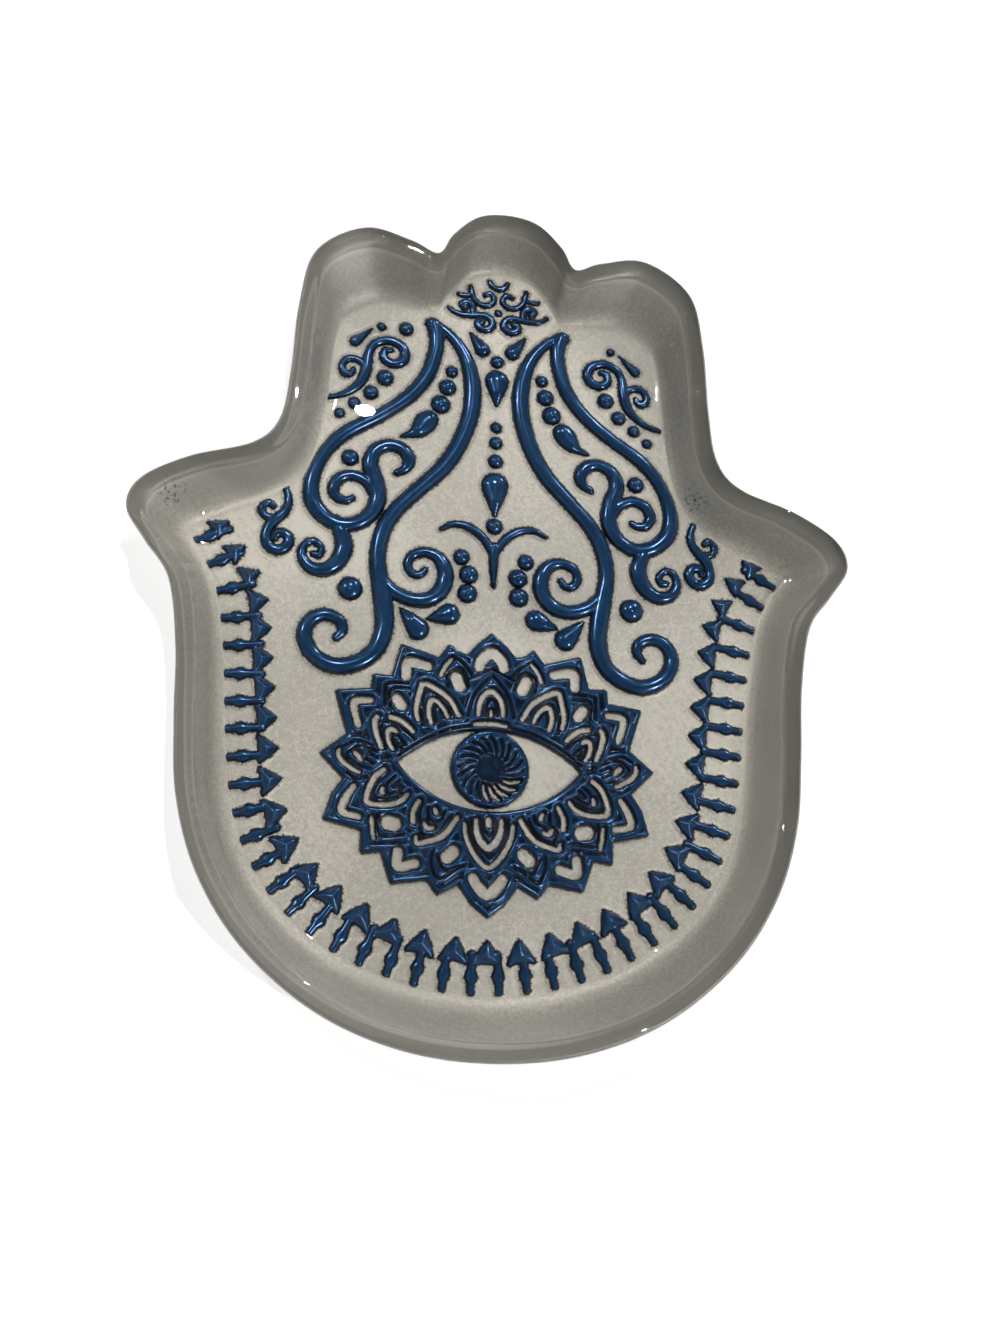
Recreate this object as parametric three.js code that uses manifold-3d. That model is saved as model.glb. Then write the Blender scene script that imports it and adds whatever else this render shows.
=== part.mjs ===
// Hamsa trinket dish: a pressed clear-glass tray in the outline of an open hand. The ornament is sunk
// into the underside as pockets, the pockets are filled with blue enamel, and a pearl coat covers the
// whole underside, so that everything is seen through the glass from above.
// Millimetres, +Z up, +Y towards the fingers, origin under the middle of the dish on the table.
import * as THREE from 'three';
import { mergeVertices } from 'three/addons/utils/BufferGeometryUtils.js';
import Module from 'manifold-3d';

const wasm = await Module();
wasm.setup();

// Driving dimensions
const COAT = 0.4;            // pearl coat under the floor and on the wall
const FLOOR_TOP = 4.4;       // table to the inside of the floor
const RIM_TOP = 12;          // table to the top of the rim
const WALL = 3.6;            // glass thickness of the wall
const COAT_GAP = 0.1;        // between the wall and its coat
const COAT_TOP = 9.8;        // table to the upper edge of the wall's coat
const COAT_REACH = 0.92;     // that edge's share of the way from foot to rim
const RIM_EDGE = 10.6;       // table to where the rounding of the rim starts
const EYE_LEVEL = -29.6;     // the eye's corners lie this far below the middle of the dish
const RISE_RATIO = 0.42;     // height of a ridge over its width
const RISE_MAX = 1.5;        // height of the tallest ridge
const SHOULDER = 0.55;       // flat crest of a ridge over its width
const PLATE_RISE = 1.3;      // height of the flat-topped inlays
const CLEARANCE = 0.2;       // between an inlay and its pocket
const RIDGE_STEPS = 2;       // sections for each given point of a ridge
const SHAFTS = 44;           // spear shafts in the border
const HEADS = 37;            // spear heads in the border: fewer, so they drift against the shafts
const SHAFT_LENGTH = 7.9;    // outer end of a shaft to inside the row of heads
const HEAD_LENGTH = 3.9;     // barbs to point of a head
const SHAFT_RISE = 1.1;      // height of the shafts, lower than the heads
const BARB_EDGE = 0.7;       // blunt edge of a barb, where a head meets the next one

// Right half of the rim and of the foot, from the heel to the tip of the middle finger. Point for
// point, the wall runs straight up from the foot to the rim.
const RIM_HALF = [
  [0, -83.8], [18, -81.5], [34.5, -73.8], [48, -60.5], [56, -43], [58.9, -21], [61.4, -0.2], [67.5, 8.2],
  [70.2, 15.4], [59.5, 24], [46.5, 29.2], [42, 42], [40.6, 63], [34.6, 74.8], [22.5, 76.3], [14.1, 73.2],
  [11, 78.3], [5.8, 82.7], [0, 83.8],
];
const FOOT_HALF = [
  [0, -74.1], [16, -71.8], [30.2, -66], [41.8, -56], [48.7, -41.8], [51.9, -21.5], [55, 0.4], [58.4, 8.4],
  [59.6, 13], [50.5, 19.2], [41.4, 24.8], [36.8, 40], [34.4, 58.5], [30, 65], [21.5, 66.7], [13.6, 64],
  [11.2, 69.2], [6.4, 75], [0, 76.7],
];
const SAMPLES_PER_POINT = 2;

// The dish's section: share of the way from foot to rim, inset from there, height.
const GLASS_SECTION = [
  [0, 0, COAT], [COAT_REACH, 0, COAT_TOP], [1, 0, RIM_EDGE], [1, 0.5, 11.6], [1, WALL / 2, RIM_TOP],
  [1, WALL - 0.6, 11.6], [1, WALL, RIM_EDGE], [0.66, WALL, 7.5], [0.24, WALL, 5.2], [0, 5.2, FLOOR_TOP],
];
const FLOOR_COAT_SECTION = [[0, 0, 0], [0, 0, COAT]];
const WALL_COAT_SECTION = [
  [0, -COAT, COAT], [COAT_REACH, -COAT, COAT_TOP], [COAT_REACH, -COAT_GAP, COAT_TOP], [0, -COAT_GAP, COAT],
];

// The ornament, in millimetres from the middle of the eye. Ridges are lists of [x, y, width]. Those of
// a pair are given for the right-hand side.
const VINE = [
  [[13.2, 92.8, 2.4], [12.9, 85, 3.1], [17.7, 75.2, 3], [30, 65.8, 3], [36.2, 55, 3.1], [32.3, 46.9, 3.2],
    [25, 48.4, 3.1], [23.8, 56, 3.4], [24.2, 62.4, 2.9], [18.8, 63.4, 2.7], [18, 59.3, 2], [19.6, 58.3, 1.5]],
  [[24.2, 53.6, 2.2], [28.4, 56.8, 2.2], [32, 53.6, 2.4], [29.4, 51.4, 1.5]],
  [[31.3, 47, 2.6], [29.4, 41.3, 3.6], [33.2, 36.7, 2.8], [37.3, 39.4, 1.9], [35.2, 42.4, 1.5],
    [33.9, 41.4, 1.4]],
  [[12.6, 92.4, 1.8], [7, 86, 2.7], [4.9, 77, 3.6], [7.6, 65.3, 3.4], [15.4, 55, 3.2], [22.1, 45.3, 3.3],
    [22.1, 35.3, 3.6], [21, 26, 3.6], [25.7, 18.8, 3.3], [34, 19.6, 3.1], [35, 26.4, 2.8], [29.5, 26.8, 2.3],
    [30, 23.3, 1.5]],
  [[22, 36.4, 2], [15.6, 32.1, 2.9], [9.9, 35.2, 3.3], [10.9, 41.1, 2.7], [16, 41.2, 2], [16, 37.5, 1.7],
    [14.4, 37.4, 1.4]],
];
const FINGER_SCROLL = [
  [[34.4, 73.1, 1.1], [30, 74.7, 1.4], [26.9, 79, 2.1], [26.2, 84, 1.7], [22.5, 87, 1.6], [18.9, 84.3, 1.8],
    [21.7, 81.9, 1.5], [23, 83.9, 1.1]],
  [[26.8, 80.6, 1.5], [30.2, 82, 1.4], [31.1, 78.9, 1.5], [29.8, 78.7, 1.3]],
];
const THUMB_SCROLL = [
  [[41.3, 53, 1.3], [40.4, 49.8, 1.6], [42.4, 46.4, 2.1], [44.3, 43.1, 1.9],
    [42.6, 40.1, 1.9], [39.9, 41.8, 1.7], [41.8, 43.4, 1.1]],
  [[42.9, 46.2, 1.5], [45.4, 48.5, 1.4], [43.3, 48.9, 1.2]],
];
const CROWN_SCROLL = [
  [[5.9, 101.6, 0.8], [5.2, 98.9, 1], [2.7, 97.4, 1], [0.95, 99.3, 1], [2.9, 100, 1]],
  [[5.5, 99.8, 0.9], [7.6, 99.2, 0.9], [8.4, 99.5, 0.8]],
];
const CROWN_SWIRL = [
  [[10.3, 96.1, 0.8], [8, 94.9, 1], [4.4, 95, 1.1], [1.5, 94.1, 1], [2.6, 91.9, 1], [4.2, 93.1, 0.9]],
  [[5.3, 95, 1], [6.2, 97.8, 1], [7.4, 96.6, 0.9]],
];
const CROWN_ARC = [[[-1.9, 103.2, 1], [0, 101.55, 1], [1.9, 103.2, 1]]];
const ANCHOR = [
  [[10.5, 47.3, 0.9], [5, 48.1, 1.7], [0.4, 43.4, 1.7]],
  [[-10.5, 47.3, 0.9], [-5, 48.1, 1.7], [-0.4, 43.4, 1.7]],
  [[0, 44.4, 2], [0, 39.5, 1.6], [0, 36.2, 0.9]],
];
const COMMA = [[[12.6, 71.8, 2.6], [14.6, 69.3, 4.6], [17.4, 66.8, 1.7], [19, 66.3, 0.8]]];
// The crown's small pieces share one plain pocket, made of round fields [x, y, radius].
const CROWN_FIELD = [[0, 97.4, 7.2], [6.6, 97.6, 5], [-6.6, 97.6, 5]];

// Drops are [tip x, tip y, head x, head y, head radius], dots [x, y, radius].
const CENTRE_DROPS = {
  centre_drop_upper: [[0, 75, 0, 80.4, 2.5]],
  centre_drop_lower: [[0, 51, 0, 57.4, 2.8]],
};
const SIDE_DROPS = {
  leaf_drop: [[5.7, 90.8, 3.1, 87.2, 1.6]],
  twin_drops: [[17.9, 30.1, 14.5, 26.3, 2.2], [13.2, 27.7, 8.6, 29.8, 2.2]],
  finger_drop: [[25.8, 89.2, 29.1, 86, 1.15]],
};
const CROWN_DOT = [[0, 96, 0.9]];
const CENTRE_DOTS = {
  centre_dot_1: [[0, 84.8, 1.5]],
  centre_dot_2: [[0, 70.1, 1.3]],
  centre_dot_3: [[0, 66.7, 1.5]],
  centre_dot_4: [[0, 62.7, 1.65]],
  centre_dot_5: [[0, 48.7, 1.6]],
  finger_dot_extra: [[-18.9, 90, 1.65]],
};
const SIDE_DOTS = {
  paisley_bead_1: [[9.3, 81.5, 1.4]],
  paisley_bead_2: [[10.1, 77.9, 1.8]],
  paisley_bead_3: [[11.3, 74.4, 1.75]],
  scroll_dot: [[29, 60.4, 1.7]],
  mid_bead_1: [[6.6, 41.7, 1.7]],
  mid_bead_2: [[5.1, 38.2, 1.85]],
  mid_bead_3: [[5.4, 34.2, 1.9]],
  base_dot: [[28, 33.1, 2.35]],
  finger_dot: [[23.9, 89.8, 0.9]],
  finger_bead_1: [[22.8, 78.5, 1.7]],
  finger_bead_2: [[25.5, 75, 1.55]],
  finger_bead_3: [[28.7, 72.4, 1.35]],
  finger_bead_4: [[31.5, 69.9, 1.1]],
};

// The eye medallion: tips and notches of its leaves, right half from top to bottom.
const MEDALLION_HALF = [
  [0, 26.4], [2.6, 24.2], [4.7, 21.8], [6.6, 22.3], [8.2, 23.5], [10.3, 20.9], [17.4, 22.9], [19.1, 16.6],
  [22.6, 16.6], [22.9, 13.9], [29.4, 13], [27.1, 4.9], [31.7, 0.9], [27.4, -3.6], [29.4, -6.6], [30.7, -11.2],
  [23.7, -13], [23.6, -17.2], [20, -16.8], [17.9, -22.5], [11.5, -21.6], [9.4, -24.1], [5.6, -22.2],
  [3, -25.7], [0, -28],
];
// Openings between the leaves' ridges as lists of [x, y, width], right half, and those on the middle line.
const LEAF_SLOTS = [
  [[16.2, 16.9, 1.6], [15.9, 19.3, 1.7], [12.1, 18.9, 1.5]],
  [[6.7, 17, 2], [6.1, 15.5, 2]],
  [[18, 12, 1.7], [17, 10.9, 1.7]],
  [[23.3, 11.5, 1], [25.9, 10.9, 1.1], [25.1, 6.9, 1.1]],
  [[13.2, 7.2, 0.6], [14.1, 10.9, 0.7], [13, 15.4, 0.7], [9.6, 14.1, 0.7], [6, 9.8, 0.6]],
  [[11.3, 7.9, 0.5], [11.9, 10, 0.6], [11.4, 12.3, 0.6], [8.6, 10.6, 0.5]],
  [[19.8, 1.7, 0.6], [21.7, 5, 0.8], [22, 8.3, 0.7]],
  [[18.6, 8.5, 0.6], [16.4, 7.7, 0.6], [14.3, 5.8, 0.5]],
  [[18.1, 2.4, 0.5], [19.3, 6.2, 0.6], [15.8, 4.6, 0.5]],
  [[22.3, -1.2, 0.5], [24.8, 0.2, 0.7], [24.7, 1.2, 0.6]],
  [[25.3, -5, 1], [26.9, -7.5, 1.2], [27.3, -9.9, 1.1], [24.2, -10.6, 1.1]],
  [[19.5, -1.3, 0.6], [22, -3.4, 0.7], [23.2, -7.8, 0.7], [19, -8.1, 0.7], [15.8, -6.5, 0.6]],
  [[18.6, -11.5, 2.4], [17.8, -11.5, 2.4]],
  [[16.7, -16.8, 1.6], [16.6, -19.2, 1.7], [13.6, -18.6, 1.7]],
  [[7.6, -17.2, 2.1], [6.8, -16.3, 2.1]],
  [[13.5, -7, 0.6], [14.4, -10, 0.7], [13.3, -14.9, 0.7], [9, -13.6, 0.7], [6.1, -9.6, 0.6]],
  [[10.3, -8.6, 0.7], [10.1, -9.4, 0.7]],
];
const MIDDLE_SLOTS = [
  [[2.4, 19.9, 1.7], [1.9, 21, 1.8], [0, 22.5, 1.8], [-1.9, 21, 1.8], [-2.4, 19.9, 1.7]],
  [[2.3, 10.4, 0.6], [1.7, 13.5, 0.7], [0, 14.9, 0.7], [-1.7, 13.5, 0.7], [-2.3, 10.4, 0.6]],
  [[2.6, 8.3, 0.5], [0, 8.5, 0.6], [-2.6, 8.3, 0.5]],
  [[0, -10.2, 0.8], [0, -10.8, 0.8]],
  [[2.6, -10.4, 0.8], [1.8, -13.4, 0.9], [0, -15.1, 0.9], [-1.8, -13.4, 0.9], [-2.6, -10.4, 0.8]],
  [[4.7, -11.8, 0.6], [3, -16.3, 0.6], [0, -18.8, 0.6], [-3, -16.3, 0.6], [-4.7, -11.8, 0.6]],
  [[2.8, -21.1, 1.7], [1.9, -22.3, 1.8], [0, -23.6, 1.8], [-1.9, -22.3, 1.8], [-2.8, -21.1, 1.7]],
];
const EYE_CORNER = 17.3;     // half the width of the eye's white
const LID_UP = 7;            // upper lid over the corners
const LID_DOWN = 8.3;        // lower lid under the corners
const IRIS_RADIUS = 7.6;
const IRIS_HOLD = 3.2;       // half the width over which the iris hangs from the upper lid
const IRIS_SIDES = 14;
const IRIS_RAYS = 10;        // openings swirling round the pupil
const IRIS_TWIST = 0.45;     // turn of a ray from end to end, in radians
const RAY_REACH = [3.4, 6.1]; // inner and outer end of a ray
const RAY_WIDTH = 0.6;

// Outer ends of the shafts and points of the heads, from the left thumb round the heel to the right one.
const SHAFT_ENDS = [
  [-57.4, 40.2], [-53.7, 31.1], [-51.6, 20.7], [-50.3, 5.4], [-48, -10], [-44.3, -19.6], [-38.1, -28.1],
  [-30, -34.6], [-20.1, -39.1], [-9.5, -41.8], [1.4, -42.3], [12.4, -40.9], [22.6, -37.5], [32.1, -31.8],
  [40, -24.4], [45.4, -15.4], [48.4, -5.1], [49.8, 5.2], [51.6, 21.1], [53.9, 31.8], [57.6, 40.6],
];
const HEAD_POINTS = [
  [-50.2, 43.8], [-45.4, 36.4], [-43, 30], [-41.6, 19.6], [-40.2, 8.2], [-38.9, -2.7], [-35.7, -13.9],
  [-28.4, -22.1], [-18.2, -28.2], [-7.3, -31.4], [5.4, -31.8], [16.4, -28.2], [26.9, -22], [34.1, -13.2],
  [37.6, -2.1], [39.1, 9.6], [40.7, 22.1], [43.2, 33.9], [46.9, 40.9], [50.2, 44.6],
];
// Half width of a spear's shaft at distances from its outer end, with the turned bead in its middle.
const SHAFT = [[0, 0.7], [3.2, 1.15]];
const SHAFT_BEAD = 1.15;
const NECK = 0.72;           // half width of the shaft under the head

// The left-hand pieces mirror the right-hand ones.
const SIDES = { left: -1, right: 1 };
const flipRidge = (sign) => (list) => list.map(([x, y, width]) => [sign * x, y, width]);
const flipDrop = (sign) => ([ax, ay, bx, by, radius]) => [sign * ax, ay, sign * bx, by, radius];
const flipDot = (sign) => ([x, y, radius]) => [sign * x, y, radius];

// Finishes
const glassFinish = () => new THREE.MeshStandardMaterial({
  color: 0xe6eceb, roughness: 0.05, metalness: 0, transparent: true, opacity: 0.35,
});
const pearlFinish = () => new THREE.MeshStandardMaterial({
  color: 0xbeb8ac, roughness: 0.4, metalness: 0.35,
});
const enamelFinish = () => new THREE.MeshStandardMaterial({
  color: 0x163f7c, roughness: 0.3, metalness: 0.45,
});

// Solids and booleans
function solid(geometry) {
  const bare = geometry.clone();
  bare.deleteAttribute('normal');
  bare.deleteAttribute('uv');
  const merged = mergeVertices(bare, 1e-4);
  const index = [];
  for (let i = 0; i < merged.index.count; i += 3) {
    const [a, b, c] = [0, 1, 2].map((k) => merged.index.getX(i + k));
    if (a !== b && b !== c && c !== a) index.push(a, b, c);
  }
  return new wasm.Manifold(new wasm.Mesh({
    numProp: 3,
    vertProperties: new Float32Array(merged.attributes.position.array),
    triVerts: new Uint32Array(index),
  }));
}

function joined(solids) {
  return solids.reduce((whole, piece) => whole.add(piece));
}

function surface(manifold) {
  const result = manifold.getMesh();
  const geometry = new THREE.BufferGeometry();
  geometry.setAttribute('position', new THREE.BufferAttribute(new Float32Array(result.vertProperties), 3));
  geometry.setIndex(new THREE.BufferAttribute(new Uint32Array(result.triVerts), 1));
  return geometry;
}

function fromTriangles(points, index) {
  const geometry = new THREE.BufferGeometry();
  geometry.setAttribute('position', new THREE.Float32BufferAttribute(points.flat(), 3));
  geometry.setIndex(index);
  return geometry;
}

// Joins rings of equal length into a skin, each four-sided gap split along its shorter diagonal. With
// fillEnds, the first and last ring are filled.
function skin(rings, fillEnds, wrap) {
  const count = rings[0].length;
  const index = [];
  const points = rings.flat();
  const span = (a, b) => Math.hypot(...points[a].map((value, axis) => value - points[b][axis]));
  const bands = wrap ? rings.length : rings.length - 1;
  for (let r = 0; r < bands; r += 1) {
    const low = r * count;
    const high = ((r + 1) % rings.length) * count;
    for (let i = 0; i < count; i += 1) {
      const [a, b] = [low + i, low + ((i + 1) % count)];
      const [c, d] = [high + ((i + 1) % count), high + i];
      if (span(a, c) < span(b, d)) index.push(a, b, c, a, c, d);
      else index.push(a, b, d, b, c, d);
    }
  }
  if (fillEnds) {
    const last = (rings.length - 1) * count;
    fillEnds(rings[0]).forEach(([a, b, c]) => index.push(a, c, b));
    fillEnds(rings[rings.length - 1]).forEach(([a, b, c]) => index.push(last + a, last + b, last + c));
  }
  return fromTriangles(points, index);
}

// The dish
function closedOutline(half) {
  const left = half.slice(1, -1).reverse().map(([x, y]) => [-x, y]);
  const corners = [...half, ...left].map(([x, y]) => new THREE.Vector3(x, y, 0));
  const curve = new THREE.CatmullRomCurve3(corners, true, 'catmullrom', 0.5);
  return curve.getPoints(corners.length * SAMPLES_PER_POINT).slice(0, -1);
}

const rim = closedOutline(RIM_HALF);
const foot = closedOutline(FOOT_HALF);

function ring([share, inset, height]) {
  return foot.map((low, i) => {
    const out = rim[i].clone().sub(low);
    const reach = share - inset / out.length();
    return [low.x + reach * out.x, low.y + reach * out.y, height];
  });
}

function fillOutline(points) {
  return THREE.ShapeUtils.triangulateShape(points.map(([x, y]) => new THREE.Vector2(x, y)), []);
}

const bowl = () => solid(skin(GLASS_SECTION.map(ring), fillOutline, false));
const floorCoat = () => solid(skin(FLOOR_COAT_SECTION.map(ring), fillOutline, false));
const wallCoat = () => solid(skin(WALL_COAT_SECTION.map(ring), null, true));

// Ridges: a low arch carried along a curve, narrowing to a blunt end. A grown one is a pocket's cutter.
function archAt(width, grow) {
  const half = width / 2 + grow;
  const crown = SHOULDER * (width / 2) + grow;
  const rise = Math.min(RISE_RATIO * width, RISE_MAX) + grow;
  return [[-half, 0], [-crown, rise], [crown, rise], [half, 0]];
}

function fillArch(points) {
  return points.slice(2).map((_, i) => [0, i + 1, i + 2]);
}

function carryArch(stations, grow) {
  const rings = stations.map(([x, y, width], i) => {
    const [ax, ay] = stations[Math.max(i - 1, 0)];
    const [bx, by] = stations[Math.min(i + 1, stations.length - 1)];
    const along = new THREE.Vector2(bx - ax, by - ay).normalize();
    return archAt(width, grow).map(([side, up]) => (
      [x + side * along.y, y - side * along.x + EYE_LEVEL, COAT + up]));
  });
  return solid(skin(rings, fillArch, false));
}

const BLUNT_REACH = 0.35;    // length of a ridge's blunt end over its width
const BLUNT_WIDTH = 0.55;    // width left at the end

function ridge(points, grow) {
  const curve = new THREE.CatmullRomCurve3(points.map((p) => new THREE.Vector3(...p)));
  const stations = curve.getPoints(RIDGE_STEPS * (points.length - 1)).map((p) => [p.x, p.y, p.z]);
  const blunt = ([x, y, width], [nx, ny]) => {
    const away = new THREE.Vector2(x - nx, y - ny).setLength(BLUNT_REACH * width + grow);
    return [x + away.x, y + away.y, BLUNT_WIDTH * width];
  };
  const start = blunt(stations[0], stations[1]);
  const end = blunt(stations.at(-1), stations.at(-2));
  return carryArch([start, ...stations, end], grow);
}

// A drop swells from its tip to the middle of its round head.
const DROP_STEPS = [[0, 0.16], [0.35, 0.5], [0.7, 0.86], [1, 1]];
const HEAD_STEPS = [[0.6, 0.8], [0.92, 0.4]];

function drop([tipX, tipY, headX, headY, radius], grow) {
  const line = new THREE.Vector2(headX - tipX, headY - tipY);
  const out = line.clone().setLength(radius + grow);
  const width = 2 * radius;
  const body = DROP_STEPS.map(([way, share]) => [tipX + way * line.x, tipY + way * line.y, width * share]);
  const head = HEAD_STEPS.map(([way, share]) => [headX + way * out.x, headY + way * out.y, width * share]);
  return carryArch([...body, ...head], grow);
}

// A dot is a low dome, its pocket a plain drum whose flat sides clear the dot.
const DOT_SIDES = 8;
const DOT_RISE = 0.6;        // height over radius
const DRUM_SIDES = 6;
const DRUM_SLACK = 1.8;      // clearance at a drum's corners over that at its sides

function dot([x, y, radius], grow) {
  const rise = DOT_RISE * radius + grow;
  const drum = radius + DRUM_SLACK * grow;
  const profile = grow > 0
    ? [[0, 0], [drum, 0], [drum, rise], [0, rise]]
    : [[0, 0], [radius, 0], [0.72 * radius, 0.7 * rise], [0, rise]];
  const outline = profile.map(([r, h]) => new THREE.Vector2(r, h));
  const dome = new THREE.LatheGeometry(outline, grow > 0 ? DRUM_SIDES : DOT_SIDES);
  dome.rotateX(Math.PI / 2);
  dome.translate(x, y + EYE_LEVEL, COAT);
  return solid(dome);
}

// Flat-topped inlays: an outline extruded upwards from the coat.
function plate(outline, grow, rise = PLATE_RISE) {
  const shape = new THREE.Shape(outline.map(([x, y]) => new THREE.Vector2(x, y)));
  const slab = new THREE.ExtrudeGeometry(shape, { depth: rise + grow, bevelEnabled: false });
  slab.translate(0, EYE_LEVEL, COAT);
  return solid(slab);
}

const FIELD_SIDES = 12;

function field([x, y, radius], grow) {
  const round = Array.from({ length: FIELD_SIDES }, (_, i) => {
    const angle = (2 * Math.PI * i) / FIELD_SIDES;
    return [x + radius * Math.cos(angle), y + radius * Math.sin(angle)];
  });
  return plate(round, grow);
}

function mirrored(half) {
  return [...half, ...half.slice(1, -1).reverse().map(([x, y]) => [-x, y])];
}

// Moves each corner of an outline out along the mean of its two edges' normals, sharp ones not too far.
const LEAST_COSINE = 0.45;

function widened(outline, distance) {
  const area = THREE.ShapeUtils.area(outline.map(([x, y]) => new THREE.Vector2(x, y)));
  const outwards = Math.sign(area) * distance;
  return outline.map(([x, y], i) => {
    const [ax, ay] = outline.at(i - 1);
    const [bx, by] = outline[(i + 1) % outline.length];
    const before = new THREE.Vector2(y - ay, ax - x).normalize();
    const after = new THREE.Vector2(by - y, x - bx).normalize();
    const mean = before.add(after).normalize();
    const reach = outwards / Math.max(LEAST_COSINE, mean.dot(after));
    return [x + reach * mean.x, y + reach * mean.y];
  });
}

// Outline of a slot of changing width along a bent line, with pointed ends.
function slot(points) {
  const corner = (i, side, forward) => {
    const [x, y, width] = points[i];
    const [ax, ay] = points[Math.max(i - 1, 0)];
    const [bx, by] = points[Math.min(i + 1, points.length - 1)];
    const along = new THREE.Vector2(bx - ax, by - ay).setLength(width / 2);
    return [x - side * along.y + forward * along.x, y + side * along.x + forward * along.y];
  };
  const left = points.map((_, i) => corner(i, 1, 0));
  const right = points.map((_, i) => corner(i, -1, 0)).reverse();
  return [...left, corner(points.length - 1, 0, 1), ...right, corner(0, 0, -1)];
}

// Height of a circular arc through both eye corners that rises by the given amount in the middle.
function lidHeight(x, rise) {
  const radius = (EYE_CORNER ** 2 + rise ** 2) / (2 * rise);
  return Math.sqrt(radius ** 2 - x ** 2) - (radius - rise);
}

// The white of the eye: between the lids, round the iris, which hangs from the upper lid.
function eyeWhite() {
  const lower = [-1, -0.75, -0.45, -0.15, 0.15, 0.45, 0.75, 1].map((share) => {
    const x = share * EYE_CORNER;
    return [x, -lidHeight(x, LID_DOWN)];
  });
  const upper = [0.75, 0.45].map((share) => [share * EYE_CORNER, lidHeight(share * EYE_CORNER, LID_UP)]);
  const start = Math.acos(IRIS_HOLD / IRIS_RADIUS);
  const iris = Array.from({ length: IRIS_SIDES + 1 }, (_, i) => {
    const angle = start - (i / IRIS_SIDES) * (Math.PI + 2 * start);
    return [IRIS_RADIUS * Math.cos(angle), IRIS_RADIUS * Math.sin(angle)];
  });
  const across = upper.map(([x, y]) => [-x, y]).reverse();
  return [...lower, ...upper, ...iris, ...across];
}

function irisRays() {
  const [inner, outer] = RAY_REACH;
  return Array.from({ length: IRIS_RAYS }, (_, i) => {
    const start = ((i + 0.5) / IRIS_RAYS) * 2 * Math.PI;
    return slot([0, 0.5, 1].map((way) => {
      const reach = inner + way * (outer - inner);
      const angle = start - IRIS_TWIST * way * way;
      return [reach * Math.cos(angle), reach * Math.sin(angle), RAY_WIDTH];
    }));
  });
}

function medallion(grow) {
  const outline = mirrored(MEDALLION_HALF);
  if (grow > 0) return plate(widened(outline, grow), grow);
  const slots = [...LEAF_SLOTS, ...LEAF_SLOTS.map(flipRidge(-1)), ...MIDDLE_SLOTS].map(slot);
  const openings = [eyeWhite(), ...irisRays(), ...slots];
  return openings.reduce((body, opening) => body.subtract(plate(opening, CLEARANCE)), plate(outline, 0));
}

// The spear border: shafts stand along one curve and heads along another, both from thumb to thumb.
function borderCurve(points) {
  const places = points.map(([x, y]) => new THREE.Vector3(x, y, 0));
  return new THREE.CatmullRomCurve3(places, false, 'catmullrom', 0.5);
}

const endCurve = borderCurve(SHAFT_ENDS);
const pointCurve = borderCurve(HEAD_POINTS);

// Direction across the border towards the middle of the dish.
function inwards(curve, share) {
  const tangent = curve.getTangentAt(share);
  return new THREE.Vector3(-tangent.y, tangent.x, 0);
}

// An outline given as [along, across] from a place and a direction, mirrored across that direction.
function laid(half, origin, along) {
  const whole = [...half, ...half.filter(([, v]) => v > 0).reverse().map(([u, v]) => [u, -v])];
  const { x, y } = origin;
  return whole.map(([u, v]) => [x + u * along.x - v * along.y, y + u * along.y + v * along.x]);
}

function shaft(number, grow) {
  const share = number / (SHAFTS - 1);
  const wide = SHAFT_BEAD + grow;
  const half = grow > 0 ? [[-grow, wide], [SHAFT_LENGTH + grow, wide]] : [...SHAFT, [SHAFT_LENGTH, NECK]];
  return plate(laid(half, endCurve.getPointAt(share), inwards(endCurve, share)), grow, SHAFT_RISE);
}

// A place in the row of heads: share of the way along it and depth behind the points.
const PITCH = 1 / (HEADS - 1);

function inRow(share, depth) {
  const near = THREE.MathUtils.clamp(share, 0, 1);
  const place = pointCurve.getPointAt(near).addScaledVector(inwards(pointCurve, near), -depth);
  place.addScaledVector(pointCurve.getTangentAt(near), (share - near) * pointCurve.getLength());
  return [place.x, place.y];
}

// The heads share their barbs with their neighbours, so the row is one saw-toothed band.
function headRow(grow) {
  const barbs = Array.from({ length: HEADS + 1 }, (_, i) => (i - 0.5) * PITCH);
  const teeth = barbs.flatMap((share, i) => {
    const notch = inRow(share, HEAD_LENGTH - BARB_EDGE);
    return i < HEADS ? [notch, inRow(i * PITCH, 0)] : [notch];
  });
  const base = barbs.map((share) => inRow(share, HEAD_LENGTH)).reverse();
  return plate(widened([...teeth, ...base], grow), grow);
}

const spearBorder = (grow) => joined([
  headRow(grow),
  ...Array.from({ length: SHAFTS }, (_, i) => shaft(i, grow)),
]);

// Every inlay has a pocket, cut by the same solid grown a little.
const inlays = {};
const pockets = [];

function addInlay(name, make) {
  inlays[name] = make(0);
  pockets.push(make(CLEARANCE));
}

const each = (lists, make) => (grow) => joined(lists.map((list) => make(list, grow)));

addInlay('eye_medallion', medallion);
addInlay('spear_border', spearBorder);
addInlay('anchor', each(ANCHOR, ridge));
Object.entries(CENTRE_DROPS).forEach(([name, lists]) => addInlay(name, each(lists, drop)));
Object.entries(CENTRE_DOTS).forEach(([name, lists]) => addInlay(name, each(lists, dot)));

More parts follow.
